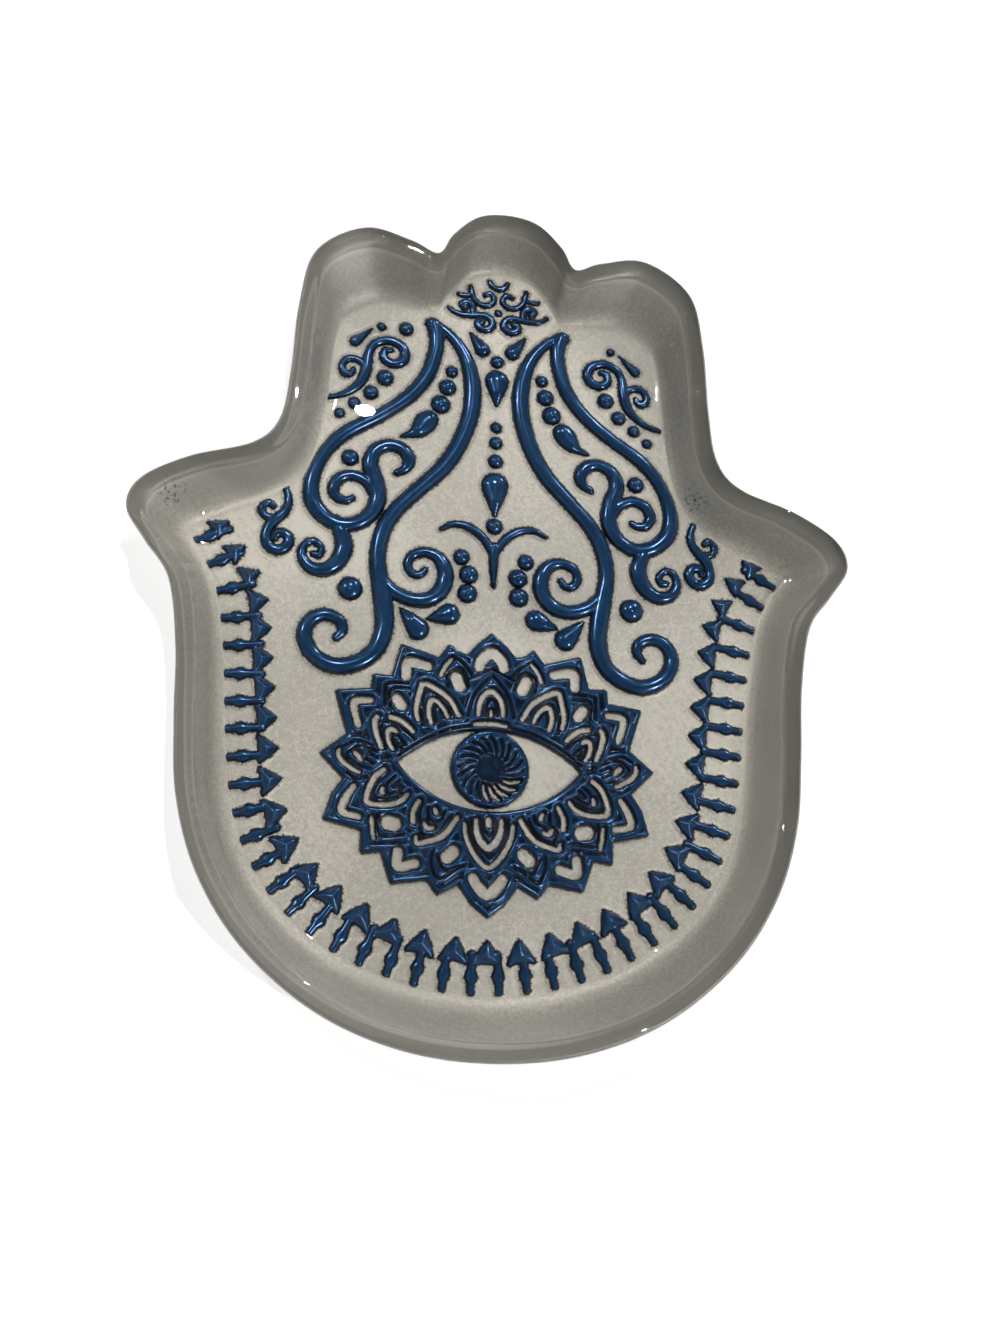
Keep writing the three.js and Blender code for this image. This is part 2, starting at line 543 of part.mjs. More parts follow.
const SIDE_RIDGES = {
  vine: VINE, finger_scroll: FINGER_SCROLL, thumb_scroll: THUMB_SCROLL, paisley_comma: COMMA,
};
Object.entries(SIDES).forEach(([side, sign]) => {
  Object.entries(SIDE_RIDGES).forEach(([name, lists]) => {
    addInlay(`${name}_${side}`, each(lists.map(flipRidge(sign)), ridge));
  });
  Object.entries(SIDE_DROPS).forEach(([name, lists]) => {
    addInlay(`${name}_${side}`, each(lists.map(flipDrop(sign)), drop));
  });
  Object.entries(SIDE_DOTS).forEach(([name, lists]) => {
    addInlay(`${name}_${side}`, each(lists.map(flipDot(sign)), dot));
  });
  inlays[`crown_scroll_${side}`] = each(CROWN_SCROLL.map(flipRidge(sign)), ridge)(0);
  inlays[`crown_swirl_${side}`] = each(CROWN_SWIRL.map(flipRidge(sign)), ridge)(0);
});
inlays.crown_arc = each(CROWN_ARC, ridge)(0);
inlays.crown_dot = each(CROWN_DOT, dot)(0);
pockets.push(each(CROWN_FIELD, field)(CLEARANCE));

// Assembly
const dish = new THREE.Group();

function place(name, manifold, material) {
  const piece = new THREE.Mesh(surface(manifold), material);
  piece.name = name;
  dish.add(piece);
}

const glass = pockets.reduce((body, pocket) => body.subtract(pocket), bowl());
place('glass_dish', glass, glassFinish());
place('pearl_floor_coat', floorCoat(), pearlFinish());
place('pearl_wall_coat', wallCoat(), pearlFinish());
Object.entries(inlays).forEach(([name, inlay]) => place(name, inlay, enamelFinish()));

export default dish;
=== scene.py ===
"""Looks of a hamsa trinket dish: clear pressed glass over a blue enamel relief and a pearl coat.

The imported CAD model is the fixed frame, in metres. The ornament's own lists are in millimetres from the
middle of the eye, as seen from above, with +Y towards the fingers.
"""

import bpy
import numpy as np
from bpy.props import FloatProperty, FloatVectorProperty, PointerProperty
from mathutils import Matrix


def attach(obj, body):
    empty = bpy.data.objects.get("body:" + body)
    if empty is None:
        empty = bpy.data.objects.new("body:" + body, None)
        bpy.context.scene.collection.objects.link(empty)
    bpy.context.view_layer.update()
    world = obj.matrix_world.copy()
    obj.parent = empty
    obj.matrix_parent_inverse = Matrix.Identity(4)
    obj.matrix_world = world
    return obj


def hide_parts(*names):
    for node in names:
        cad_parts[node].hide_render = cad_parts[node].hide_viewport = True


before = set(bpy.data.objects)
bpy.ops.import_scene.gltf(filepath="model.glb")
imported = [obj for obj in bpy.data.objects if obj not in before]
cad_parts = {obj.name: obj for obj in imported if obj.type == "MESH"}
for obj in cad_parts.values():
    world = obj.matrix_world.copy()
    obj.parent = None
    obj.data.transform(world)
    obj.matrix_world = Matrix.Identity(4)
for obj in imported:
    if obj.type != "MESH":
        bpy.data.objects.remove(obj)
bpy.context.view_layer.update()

bl_info = {
    "name": "Hamsa trinket dish",
    "version": (1, 0, 0),
    "blender": (4, 5, 0),
    "location": "View3D > Sidebar > Dish",
    "description": "Builds a glass hamsa dish with a blue enamel relief over a pearl coat",
    "category": "Object",
}

MM = 0.001
EYE_LEVEL = -29.6       # where the eye's corners lie, along Y from the middle of the dish
COAT_TOP = 0.42         # table to the upper face of the pearl under the floor
FLOOR_TOP = 4.4         # table to the inside of the glass floor
RIM_EDGE = 10.6         # table to where the rounding of the rim starts
RIM_TOP = 12.0
WALL = 3.6              # glass thickness of the wall
GLASS_UNDER = 0.25      # table to the underside of the glass
FOOT_ROUND = 2.2        # how far in from the foot's line the rounding to the wall starts
FOOT_SHARE = 0.22       # share of the wall that the rounding takes
LIP = 0.65              # 1 is a round lip, less is squarer
COAT_TURN = 60          # how far round the lip, in degrees from its outer side, the coat reaches
COAT_OUT = 0.3          # how far the coat stands out from the glass on the wall
COAT_FADE = 0.15        # share of the wall, below the lip, in which that thins to nothing
COAT_IN = 0.06          # how far the coat's inner face lies inside the glass on the wall and round the lip
FOOT_IN = 0.05          # the same on the rounding of the foot's edge
LIP_IN = 0.02           # how far the coat's outer face lies inside the glass round the lip
FLOOR_LAP = 0.1         # how far in from the start of that rounding the floor's coat ends
WALL_LAP = 0.8          # how far in from there the wall's coat ends
LAP_STEP = 0.02         # how far this end lies under and over the faces of the floor's coat
SHARP = 0.6             # edges that turn by more than this angle, in radians, stay sharp
REACH = 3.5             # distances are worked out to this far from a line
# Inside of the glass from lip to floor: share of the way from foot to rim, inset from there, height.
HOLLOW = [
    (1, WALL, RIM_EDGE), (0.66, WALL, 7.5), (0.3, 3.4, 5.4), (0.08, 2.8, 4.6), (0, 3.6, FLOOR_TOP),
    (0, 4.8, FLOOR_TOP)]

# Right half of the rim and of the foot, from the heel to the tip of the middle finger, point for point.
RIM_HALF = [
    (0, -83.8), (16, -82), (31, -76.1), (44, -65.8), (52.6, -53.4), (57.1, -40), (58.5, -26), (59.2, -13),
    (61.4, -0.2), (66.2, 6.8), (70, 13), (67.9, 18.8), (59.5, 24), (48.2, 28), (43.4, 33.6), (41.9, 44),
    (41.1, 58.5), (38.4, 70.5), (29, 76.9), (19.5, 75.3), (14.1, 73.2), (11.2, 77.8), (6.2, 82.5),
    (0, 83.8)]
FOOT_HALF = [
    (0, -74.1), (14, -72.3), (27, -67.8), (38, -60.2), (45.6, -50.5), (49.6, -39.5), (51.3, -27),
    (52.6, -13.5), (55, 0.4), (57.9, 7.6), (60, 11.6), (57.5, 15.2), (50.5, 19.2), (42.5, 23.8),
    (38.4, 30.5), (36.4, 41.5), (35.2, 56), (32.2, 63), (25.5, 67), (19, 67), (13.6, 66.7), (11.3, 69.8),
    (6.8, 74.9), (0, 76.7)]

INK = 0.13              # how far the enamel spreads beyond the lines below, on each side
THINNEST = 0.12         # least half width of a line
RIDGE_BASE = 0.15       # height of a ridge, before its width adds to it
BEAD_BASE = 0.2         # height of a bead, before its radius adds to it
BEAD_RISE = 0.8         # what a bead's radius adds, as a share of it
BEAD_SIDES = 28
PIN = 0.001             # radius at which a bead's turned profile closes round its axis
BEAD_STEPS = 9          # points from the edge of a bead to its top
HALO_STEPS = 6          # points across the raised pearl round a bead
HALO_SINK = 0.05        # how far the outer edge of the raised pearl lies under the coat's face
HALO_LAP = 0.12         # how far the raised pearl reaches in under the enamel
SPILL = 0.45            # how far from the enamel its stray specks lie

# Ridges are lists of (x, y, width). Those of a pair are given for the right-hand side.
VINE = [
    [(14.4, 91.7, 1.6), (13.5, 91.8, 3), (12.8, 90.1, 3.2), (12.6, 88, 3.1), (12.9, 85, 3.1),
     (14.3, 80.2, 3.1), (17.7, 75.2, 3), (23, 70.6, 2.9), (30, 65.8, 3), (34.2, 60.8, 2.9),
     (36.2, 55, 3.1), (35.6, 50.2, 3.4), (32.3, 46.9, 3.2), (28.3, 46.4, 3), (25, 48.4, 3.1),
     (23.3, 52, 3.4), (23.8, 56, 3.4), (25, 59.4, 3.3), (24.2, 62.4, 2.9), (21.6, 64, 2.6),
     (18.8, 63.4, 2.7), (17.4, 61.3, 2.7), (18, 59.3, 2), (19.6, 58.3, 1.5)],
    [(24.2, 53.6, 2.2), (25.6, 55.7, 2.3), (28.4, 56.8, 2.2), (31, 55.8, 2.4), (32, 53.6, 2.4),
     (31.1, 51.8, 2), (29.4, 51.4, 1.7), (28.2, 52, 1.4)],
    [(31.3, 47, 2.6), (29.8, 44, 3.2), (29.4, 41.3, 3.6), (30.6, 38.4, 3.3), (33.2, 36.7, 2.8),
     (35.9, 37.2, 2.4), (37.3, 39.4, 1.9), (36.8, 41.6, 1.6), (35.2, 42.4, 1.5), (33.7, 41.2, 1.4),
     (34, 39.7, 1.5), (35.1, 39.8, 1.4)],
    [(13.2, 92.2, 1.8), (9.8, 89.7, 2.2), (7, 86, 2.7), (5.5, 81.8, 3.3), (4.9, 77, 3.6),
     (5.5, 71.5, 3.5), (7.6, 65.3, 3.4), (10.8, 60, 3.4), (15.4, 55, 3.2), (19.6, 50.3, 3.2),
     (22.1, 45.3, 3.3), (22.8, 40, 3.3), (22.1, 35.3, 3.6), (21.3, 30.6, 3.8), (21, 26, 3.6),
     (22.4, 21.6, 3.4), (25.7, 18.8, 3.3), (30, 17.8, 3.2), (34, 19.6, 3.1), (36, 23.3, 3),
     (35, 26.4, 2.8), (32.3, 27.8, 2.6), (29.5, 26.8, 2.3), (28.9, 24.8, 2), (30, 23.3, 1.5)],
    [(22, 36.4, 2), (19.3, 33.4, 2.8), (15.6, 32.1, 2.9), (12.2, 32.7, 3.1), (9.9, 35.2, 3.3),
     (9.5, 38.4, 3.2), (10.9, 41.1, 2.7), (13.5, 42.1, 2.2), (16, 41.2, 2), (16.9, 39.2, 1.8),
     (16, 37.5, 1.7), (14.4, 37.4, 1.6), (13.5, 38.4, 1.4)]]
FINGER_SCROLL = [
    [(34.4, 73.1, 1.1), (32.3, 73.5, 1.2), (30, 74.7, 1.5), (28, 76.6, 2), (26.9, 79, 2.3),
     (26.5, 81.7, 2.2), (26.2, 84, 1.8), (25, 86, 1.8), (22.5, 87, 1.9), (20, 86.2, 2), (18.9, 84.3, 2.1),
     (19.7, 82.4, 2.1), (21.7, 81.9, 2), (23.2, 83, 1.9), (23, 84.6, 1.6), (21.8, 84.9, 1.2)],
    [(26.8, 80.6, 1.6), (28.3, 81.9, 1.6), (30.2, 82, 1.6), (31.5, 80.6, 1.6), (31.1, 78.9, 1.7),
     (29.8, 78.7, 1.5), (29.2, 79.8, 1.1)]]
THUMB_SCROLL = [
    [(41.3, 53, 1.3), (40.6, 51.4, 1.5), (40.4, 49.8, 1.7), (41, 48, 1.9), (42.4, 46.4, 2.2),
     (43.6, 45, 2.2), (44.3, 43.1, 2.1), (44, 41.2, 2.2), (42.6, 40.1, 2.2), (41, 40.3, 2.2),
     (39.9, 41.8, 2.2), (40.5, 43.3, 2), (42, 43.5, 1.7), (42.5, 42.3, 1.2)],
    [(42.9, 46.2, 1.7), (44.9, 46.9, 1.6), (45.4, 48.5, 1.6), (44.3, 49.6, 1.6), (43.3, 48.9, 1.4)]]
CROWN_SCROLL = [
    [(5.9, 101.6, 0.98), (5.6, 100.3, 1.28), (5.2, 98.9, 1.28), (4.2, 97.8, 1.28), (2.7, 97.4, 1.28),
     (1.3, 98, 1.28), (0.95, 99.3, 1.28), (1.7, 100.3, 1.28), (2.8, 99.9, 1.18)],
    [(5.5, 99.8, 1.08), (6.5, 99.4, 1.08), (7.6, 99.2, 1.08), (8.4, 99.5, 0.98)]]
CROWN_SWIRL = [
    [(10.3, 96.1, 0.88), (9.4, 95.4, 1.08), (8, 94.9, 1.28), (6.2, 94.8, 1.38), (4.4, 95, 1.48),
     (2.8, 95.1, 1.48), (1.4, 94.2, 1.58), (1.3, 92.8, 1.68), (2.6, 91.9, 1.68), (4, 92.4, 1.68),
     (4.2, 93.4, 1.48), (3.2, 93.7, 1.28)],
    [(5.3, 94.9, 1.28), (5.3, 96.8, 1.48), (6.4, 97.8, 1.58), (7.6, 97.2, 1.48), (7, 96.2, 1.38)]]
CROWN_ARC = [
    [(-1.9, 103.2, 1.08), (-1.35, 102.1, 1.28), (0, 101.55, 1.28), (1.35, 102.1, 1.28),
     (1.9, 103.2, 1.08)]]
ANCHOR = [
    [(10.5, 47.3, 0.9), (8, 48.5, 1.4), (5, 48.1, 1.7), (2.3, 46.2, 1.8), (0.4, 43.4, 1.7)],
    [(-10.5, 47.3, 0.9), (-8, 48.5, 1.4), (-5, 48.1, 1.7), (-2.3, 46.2, 1.8), (-0.4, 43.4, 1.7)],
    [(0, 44.4, 2), (0, 42.5, 2), (0, 39.5, 1.6), (0, 36.2, 0.9)]]
COMMA = [[(13.7, 70.4, 4), (14.4, 69.6, 4.5), (15.4, 68.2, 3.5), (16.7, 67.1, 2), (19, 66.2, 0.8)]]
# Drops run from a thin tip to a round head.
CENTRE_DROPS = {
    "centre_drop_upper": [[(0, 75, 0.7), (0, 78, 3.2), (0, 80.4, 5)]],
    "centre_drop_lower": [[(0, 51, 0.7), (0, 54.4, 3.4), (0, 57.4, 5.6)]]}
SIDE_DROPS = {
    "leaf_drop": [[(5.7, 90.8, 0.6), (4.4, 89, 2), (3.1, 87.2, 3.2)]],
    "twin_drops": [[(17.9, 30.1, 0.7), (16.2, 28.2, 2.8), (14.5, 26.3, 4.4)],
                   [(12.7, 28.5, 0.6), (10.6, 29.1, 2.6), (8.6, 29.8, 4.3)]],
    "finger_drop": [[(25.8, 89.2, 0.4), (27.4, 87.6, 1.3), (29.1, 86, 2.3)]]}
# Dots are (x, y, radius).
CENTRE_DOTS = {
    "crown_dot": (0, 96, 0.9), "centre_dot_1": (0, 84.8, 1.5), "centre_dot_2": (0, 70.1, 1.3),
    "centre_dot_3": (0, 66.7, 1.5), "centre_dot_4": (0, 62.7, 1.65), "centre_dot_5": (0, 48.7, 1.8),
    "finger_dot_extra": (-18.9, 90, 1.65)}
SIDE_DOTS = {
    "paisley_bead_1": (9.3, 81.5, 1.4), "paisley_bead_2": (10.1, 77.9, 1.9),
    "paisley_bead_3": (11.4, 74, 2.1), "scroll_dot": (29, 60.5, 1.85), "mid_bead_1": (6.4, 41.7, 1.75),
    "mid_bead_2": (4.9, 38.2, 2), "mid_bead_3": (5.1, 34.3, 2.05), "base_dot": (27.8, 33.4, 2.5),
    "finger_dot": (23.9, 89.9, 1), "finger_bead_1": (22.8, 78.6, 1.85), "finger_bead_2": (25.5, 75, 1.65),
    "finger_bead_3": (28.7, 72.4, 1.4), "finger_bead_4": (31.5, 69.9, 1.2)}

# The eye medallion: tips and notches of its leaves, right half from top to bottom.
MEDALLION_HALF = [
    (0, 26.5), (2.6, 24.3), (4.7, 21.8), (6.6, 22.3), (8.2, 23.7), (10.3, 20.9), (17.5, 23), (19.1, 16.6),
    (22.7, 16.7), (22.9, 13.9), (29.6, 13.1), (27.1, 4.9), (31.9, 0.9), (27.4, -3.6), (29.4, -6.6),
    (30.8, -11.4), (23.7, -13), (23.7, -17.3), (20, -16.8), (18, -22.6), (11.5, -21.6), (9.4, -24.3),
    (5.6, -22.2), (3, -25.8), (0, -28.1)]
# Openings between its ridges, where the pearl shows, right half, as (x, y, width).
LEAF_SLOTS = [
    [(16.4, 16.8, 1.5), (16, 19.5, 1.7), (12.3, 19, 1.4)],
    [(6.8, 17.2, 1.9), (6.1, 15.5, 1.9)],
    [(9.8, 17.4, 0.4), (9, 19.2, 0.45), (7.8, 20.8, 0.4)],
    [(18, 12.2, 1.7), (17.1, 11, 1.7)],
    [(23, 11.6, 0.9), (26, 11, 1.1), (25.1, 6.8, 0.9)],
    [(13.9, 8.5, 0.5), (14.3, 10.6, 0.65), (13.6, 14.3, 0.7), (13, 15.5, 0.7), (10.9, 14.8, 0.7),
     (8, 12.8, 0.65), (6.1, 9.7, 0.5)],
    [(11.4, 8, 0.45), (11.9, 10, 0.6), (11.6, 12.1, 0.65), (10.7, 12.4, 0.6), (9.3, 11.2, 0.5),
     (8.3, 9.4, 0.4)],
    [(20.6, 2.7, 0.5), (21.5, 5, 0.7), (22, 7.4, 0.75), (21.6, 8.5, 0.6)],
    [(19.1, 8.6, 0.6), (17.4, 8.2, 0.65), (15.9, 7.2, 0.6), (14.8, 6.1, 0.45)],
    [(18.5, 2.5, 0.4), (19.3, 4, 0.5), (19.5, 5.7, 0.6), (18.8, 6.3, 0.6), (17.9, 5.9, 0.45)],
    [(28.4, 1.7, 0.5), (28.5, 0.8, 0.55), (27.5, -0.6, 0.55), (25.6, -1.8, 0.5), (24.6, -2.2, 0.45)],
    [(25.3, 1.3, 0.6), (24.7, 0.6, 0.6), (24.3, 0.1, 0.4)],
    [(25.4, -5, 0.7), (26.9, -7.5, 1.1), (27.3, -9.8, 1), (24.3, -10.6, 0.8)],
    [(19.9, -1.5, 0.55), (21.8, -3.4, 0.65), (22.9, -7.6, 0.7), (19.2, -8.1, 0.65), (16.6, -7.2, 0.6),
     (15.4, -5.9, 0.45)],
    [(20, -5, 0.4), (20.1, -5.8, 0.6)],
    [(18.8, -11.4, 2.3), (17.7, -11.6, 2.3)],
    [(21.9, -10.6, 0.4), (21.7, -12.6, 0.5), (21.4, -14.4, 0.4)],
    [(16.8, -16.8, 1.5), (16.7, -19.3, 1.6), (13.6, -18.7, 1.5)],
    [(7.7, -17.3, 2), (6.6, -16.2, 2)],
    [(13.2, -7, 0.5), (14.2, -9, 0.6), (14.2, -11, 0.65)],
    [(13.6, -13.8, 0.4), (13.3, -14.9, 0.65), (11.6, -14.6, 0.7), (9, -13.6, 0.75), (7.4, -12, 0.7),
     (6, -9.8, 0.6)],
    [(12.1, -11.2, 0.4), (11.5, -12, 0.6), (10.4, -11.9, 0.4)],
    [(10.2, -8.4, 0.45), (9.9, -9.2, 0.55)]]
# Openings on the middle line, right half of each, with the last point on that line.
MIDDLE_SLOTS = [
    [(2.4, 19.7, 1.6), (1.9, 21, 1.8), (0, 22.6, 1.8)],
    [(2.4, 10.2, 0.45), (2.2, 12.2, 0.6), (1.5, 13.8, 0.65), (0, 14.9, 0.7)],
    [(3, 8.25, 0.45), (0, 8.5, 0.6)],
    [(2.4, -10, 0.5), (2.3, -12, 0.8), (1.5, -14, 0.95), (0, -15.2, 1)],
    [(4.6, -10.8, 0.4), (4.2, -13.4, 0.55), (2.6, -16.6, 0.6), (0, -18.9, 0.6)],
    [(2.8, -20.9, 1.5), (1.9, -22.3, 1.8), (0, -23.8, 1.8)]]
UPRIGHT_SLOTS = [[(0, 10.1, 0.35), (0, 11, 0.35)], [(0, -10.1, 0.9), (0, -10.8, 0.9)]]
# Blue grooves in the ridges, right half, as (x, y).
LEAF_GROOVES = [
    [(0, 17.8), (1.6, 16.3), (3.2, 14), (4, 11.5), (4.3, 9.8)], [(0, 19.3), (2.2, 18.2), (4.6, 17)],
    [(1.2, 10), (0.9, 12.2), (0, 13.4)], [(7.2, 20.9), (5.6, 19.8), (4.1, 18)],
    [(4.5, 15.2), (5.4, 18.2), (6.8, 18.9), (8.6, 17.4), (8.4, 15)],
    [(20.3, 10.6), (20.3, 14.2), (19.8, 15), (16, 15.3)], [(19.2, 9.9), (19.3, 13.9), (15.8, 14.2)],
    [(13, 7.3), (13.4, 10), (12.7, 13.8), (10.4, 13.3), (8, 11.5), (6.9, 9.1)],
    [(10.6, 8.2), (10.9, 10), (10.4, 11.3), (9.5, 10.3), (9, 9)],
    [(19.8, 2.3), (20.6, 4.6), (20.8, 7.3), (18.8, 7.4), (16.4, 6), (14.6, 4.5)],
    [(17.8, 2.3), (18.5, 4.2), (18.3, 5.3), (17.1, 4.4), (16.2, 3.3)],
    [(16.9, 2.4), (17.4, 3.7), (16.6, 3.3)], [(22.4, 2.7), (25.4, 3.5), (27.5, 2.5)],
    [(21.4, 1.7), (24.4, 2.7), (26.6, 1.4), (26.8, 0.4), (25, -1), (22.6, -1.7)],
    [(21.4, 0.5), (23, 1.3), (23.4, 0.2), (22, -0.7)], [(23, -3.2), (25.2, -3.6), (26.9, -2.6)],
    [(4, 7.7), (8, 6.8), (12, 5), (15, 3.2), (17.6, 1.1)],
    [(19, -2), (20.9, -3.9), (21.8, -6.8), (19, -7.1), (16.6, -6)],
    [(18, -2.8), (19.4, -4.4), (19.2, -6.1), (17.6, -5.7), (16.4, -4.8)],
    [(17.2, -3.6), (18.3, -4.8), (16.9, -4.5)],
    [(15.9, -13.6), (20.4, -13.9), (20.7, -9.8)], [(15.6, -15), (18.5, -15.3), (21.8, -15.5)],
    [(4.5, -18.7), (6.4, -19.5), (9.3, -21.4), (10.7, -18.6), (10.5, -16.3)],
    [(5.6, -19), (8.2, -19.7), (9.7, -17)],
    [(12.6, -7.6), (13.1, -10), (12.3, -13.6), (9.4, -12.7), (7.2, -9.5)],
    [(11.4, -8.3), (11.4, -10.4), (10.2, -10.9), (8.9, -10.2), (8.4, -8.9)],
    [(3.5, -9.8), (3.3, -12.4), (2.2, -15), (0, -17.1)], [(1.3, -10), (0.9, -12), (0, -13)]]
SLOT_GROWTH = 0.1       # how much wider on each side the openings are
TUBE = 0.65             # half the width of the medallion's ridges
TUBE_RISE = 1.2         # their height
GROOVE_LEFT = 0.3       # share of the height that is left along a blue groove
GROOVE_HALF = 0.5       # half the width of a blue groove
GROOVE_EDGE = 0.2       # how much further off than an edge a blue groove counts
DIP_START = 0.75        # how far from an edge or groove a broad part starts to dip
DIP_RUN = 0.6           # over which distance it dips
DIP = 0.45              # by which share of the height
TIP_ROUND = 0.6         # radius of the leaves' tips
TIP_GROWTH = 0.2        # how far the enamel spreads beyond the leaves' outline
EYE_CORNER = 17.3       # half the width of the eye's white
LID_UP = 7.0            # upper lid over the corners
LID_DOWN = 8.3          # lower lid under the corners
IRIS_DROP = 0.3         # the middle of the iris lies this far under the corners
IRIS_RADIUS = 7.6
PUPIL_RADIUS = 2.75
PUPIL_RISE = 0.55
PUPIL_TONE = 0.42       # brightness of the pupil, counted as a distance from the enamel's edge
IRIS_RAYS = 20          # slits swirling round the pupil
OPEN_RAYS = 5           # those through which the pearl shows, on the lower right
FIRST_RAY = -112        # direction of the first of them, in degrees
RAY_FOOT = 3.1          # where their turning starts, from the middle of the iris
RAY_TURN = 0.1          # how much they turn
RAY = [(3.2, 0.25), (4.2, 0.5), (5.2, 0.55), (6.1, 0.3)]        # (distance from the middle, width)
EYE_BOX = (-33.5, -30, 33.5, 28.5)
EYE_FINENESS = 0.9      # grid spacing of the medallion, as a share of the other pieces'

# The border: outer ends of the shafts and points of the heads, from the left thumb round the heel.
SHAFTS = 44
HEADS = 37              # fewer than the shafts, so the two rows drift against each other
SHAFT_ENDS = [
    (-58, 40), (-53.7, 31.1), (-51.6, 20.7), (-50.3, 5.4), (-48, -10), (-44.3, -19.6), (-38.1, -28.1),
    (-30, -34.6), (-20.1, -39.1), (-9.5, -41.8), (1.4, -42.3), (12.4, -40.9), (22.6, -37.5),
    (32.1, -31.8), (40, -24.4), (45.4, -15.4), (48.4, -5.1), (49.8, 5.2), (51.6, 21.1), (53.9, 31.8),
    (58.4, 40.5)]
HEAD_POINTS = [
    (-51.2, 44.9), (-45.4, 36.4), (-43, 30), (-41.6, 19.6), (-40.2, 8.2), (-38.9, -2.7), (-35.7, -13.9),
    (-28.4, -22.1), (-18.2, -28.2), (-7.3, -31.4), (5.4, -31.8), (16.4, -28.2), (26.9, -22), (34.1, -13.2),
    (37.6, -2.1), (39.1, 9.6), (40.7, 22.1), (43.2, 33.9), (48.4, 43.4), (51.2, 46.2)]
# A shaft as (distance from its outer end, width) and half a head as (distance from its barbs, half width).
SHAFT = [(0.6, 1.5), (2.3, 1.5), (3, 1.9), (3.7, 2.5), (4.4, 1.9), (5.2, 1.6), (7.6, 1.6)]
HEAD = [(0, 1.25), (-0.35, 2.25), (-0.1, 2.8), (0.45, 2.85), (2.4, 1.75), (4, 0.65), (4.5, 0.2)]
HEAD_LENGTH = 4.5       # barbs to point of a head
# Heads are shorter beside the palm than at the heel, and narrower at the thumbs: two levels, two shares.
HEAD_LENGTHS = (-15, 0), (1, 0.84)
HEAD_WIDTHS = (24, 38), (1, 0.78)
SHAFT_RISE = 0.95
HEAD_RISE = 1.15        # height of a head at 1 mm from its edge
HEAD_BULGE = 0.7        # 1 is a plain roof, less is rounder
BORDER_BOX = (-61, -44.5, 61, 49.5)
BORDER_STEP = 0.22      # grid spacing of the border

# From here on, sizes are in metres. Middles of the worn patches, at the left thumb and the right one.
WEAR_PLACES = [(-0.0625, 0.0182, 0.007), (0.041, 0.0275, 0.0045)]
WEAR_REACH = 0.0048
# The rim's darker band is painted shade and the bright line under it a painted highlight.
RIM_BAND = 0.008        # height over the table at which the rim's darker band starts
RIM_LINE = 0.0008       # width of the bright line under it

# The key lamp, whose mirror image shows in the floor of the dish, and the downlights round it: where each
# of these stands, how large it is and its share of the power.
KEY_PLACE = (0.042, 0.485, 0.897)
KEY_SIZE = (0.018, 0.009)
DOWNLIGHTS = [
    ((0.48, -0.43, 0.75), 0.014, 2.4), ((-0.5, 0.35, 0.8), 0.03, 1.2), ((0.55, 0.76, 0.56), 0.022, 1.8)]
FLOOR_HALF = 3.0        # half the side of the stage's floor
FLOOR_GAP = 0.0001      # how far it lies under the dish
FLOOR_GLOW = 0.7        # light that lifts the floor to white for the camera
SENSOR = 36             # height of the camera's picture in millimetres


def length_setting(name, description, default):
    """A length as a property."""
    return FloatProperty(name=name, description=description, default=default, unit="LENGTH")


def colour_setting(name, description, default):
    """A colour as a property."""
    return FloatVectorProperty(name=name, description=description, default=default, subtype="COLOR")


def number_setting(name, description, default):
    """A plain number as a property."""
    return FloatProperty(name=name, description=description, default=default)


class DishSizes(bpy.types.PropertyGroup):
    """Sizes of the relief that a maker may want to change."""

    ridge_rise: number_setting("Ridge rise", "Height of a ridge over half its width", 0.85)
    ridge_limit: length_setting("Ridge limit", "Height of the tallest ridge", 0.00155)
    halo_width: length_setting("Halo width", "Width of the raised pearl round the enamel", 0.0007)
    halo_rise: length_setting("Halo rise", "Height of the raised pearl at the enamel", 0.0002)
    fine_halo_width: length_setting("Fine halo width", "Width of the raised pearl in the eye", 0.00025)
    fine_halo_rise: length_setting("Fine halo rise", "Height of the raised pearl in the eye", 0.00009)
    fine_step: length_setting("Fine step", "Grid spacing of the relief", 0.0002)


class DishColours(bpy.types.PropertyGroup):
    """Colours of the finishes."""

    glass: colour_setting("Glass", "Tint of the clear glass", (0.975, 0.985, 0.98))
    pearl: colour_setting("Pearl", "Light tone of the pearl coat", (0.625, 0.587, 0.507))
    pearl_shade: colour_setting("Pearl shade", "Dark tone of the pearl coat", (0.437, 0.407, 0.352))
    # Wall and wall shade are the pearl's tones in painted shade, darker and greyer than on the floor.
    wall: colour_setting("Wall", "Light tone of the coat on the wall", (0.47, 0.455, 0.405))
    wall_shade: colour_setting("Wall shade", "Dark tone of the coat on the wall", (0.37, 0.355, 0.318))
    # The rim tone is painted shade.
    rim: colour_setting("Rim", "Tone of the coat's band at the rim", (0.36, 0.346, 0.308))
    worn: colour_setting("Worn", "Tone of the worn patches", (0.07, 0.08, 0.12))
    # The bright tone doubles as a painted highlight on the crowns; the deep and edge tones carry painted
    # shade at the edges.
    enamel: colour_setting("Enamel", "Bright tone of the blue enamel", (0.01, 0.074, 0.2))
    enamel_deep: colour_setting("Deep enamel", "Dark tone of the blue enamel", (0.002, 0.009, 0.03))
    enamel_edge_painted_shade: colour_setting("Enamel edge", "Tone of the enamel's thin edges", (0.001, 0.003, 0.009))


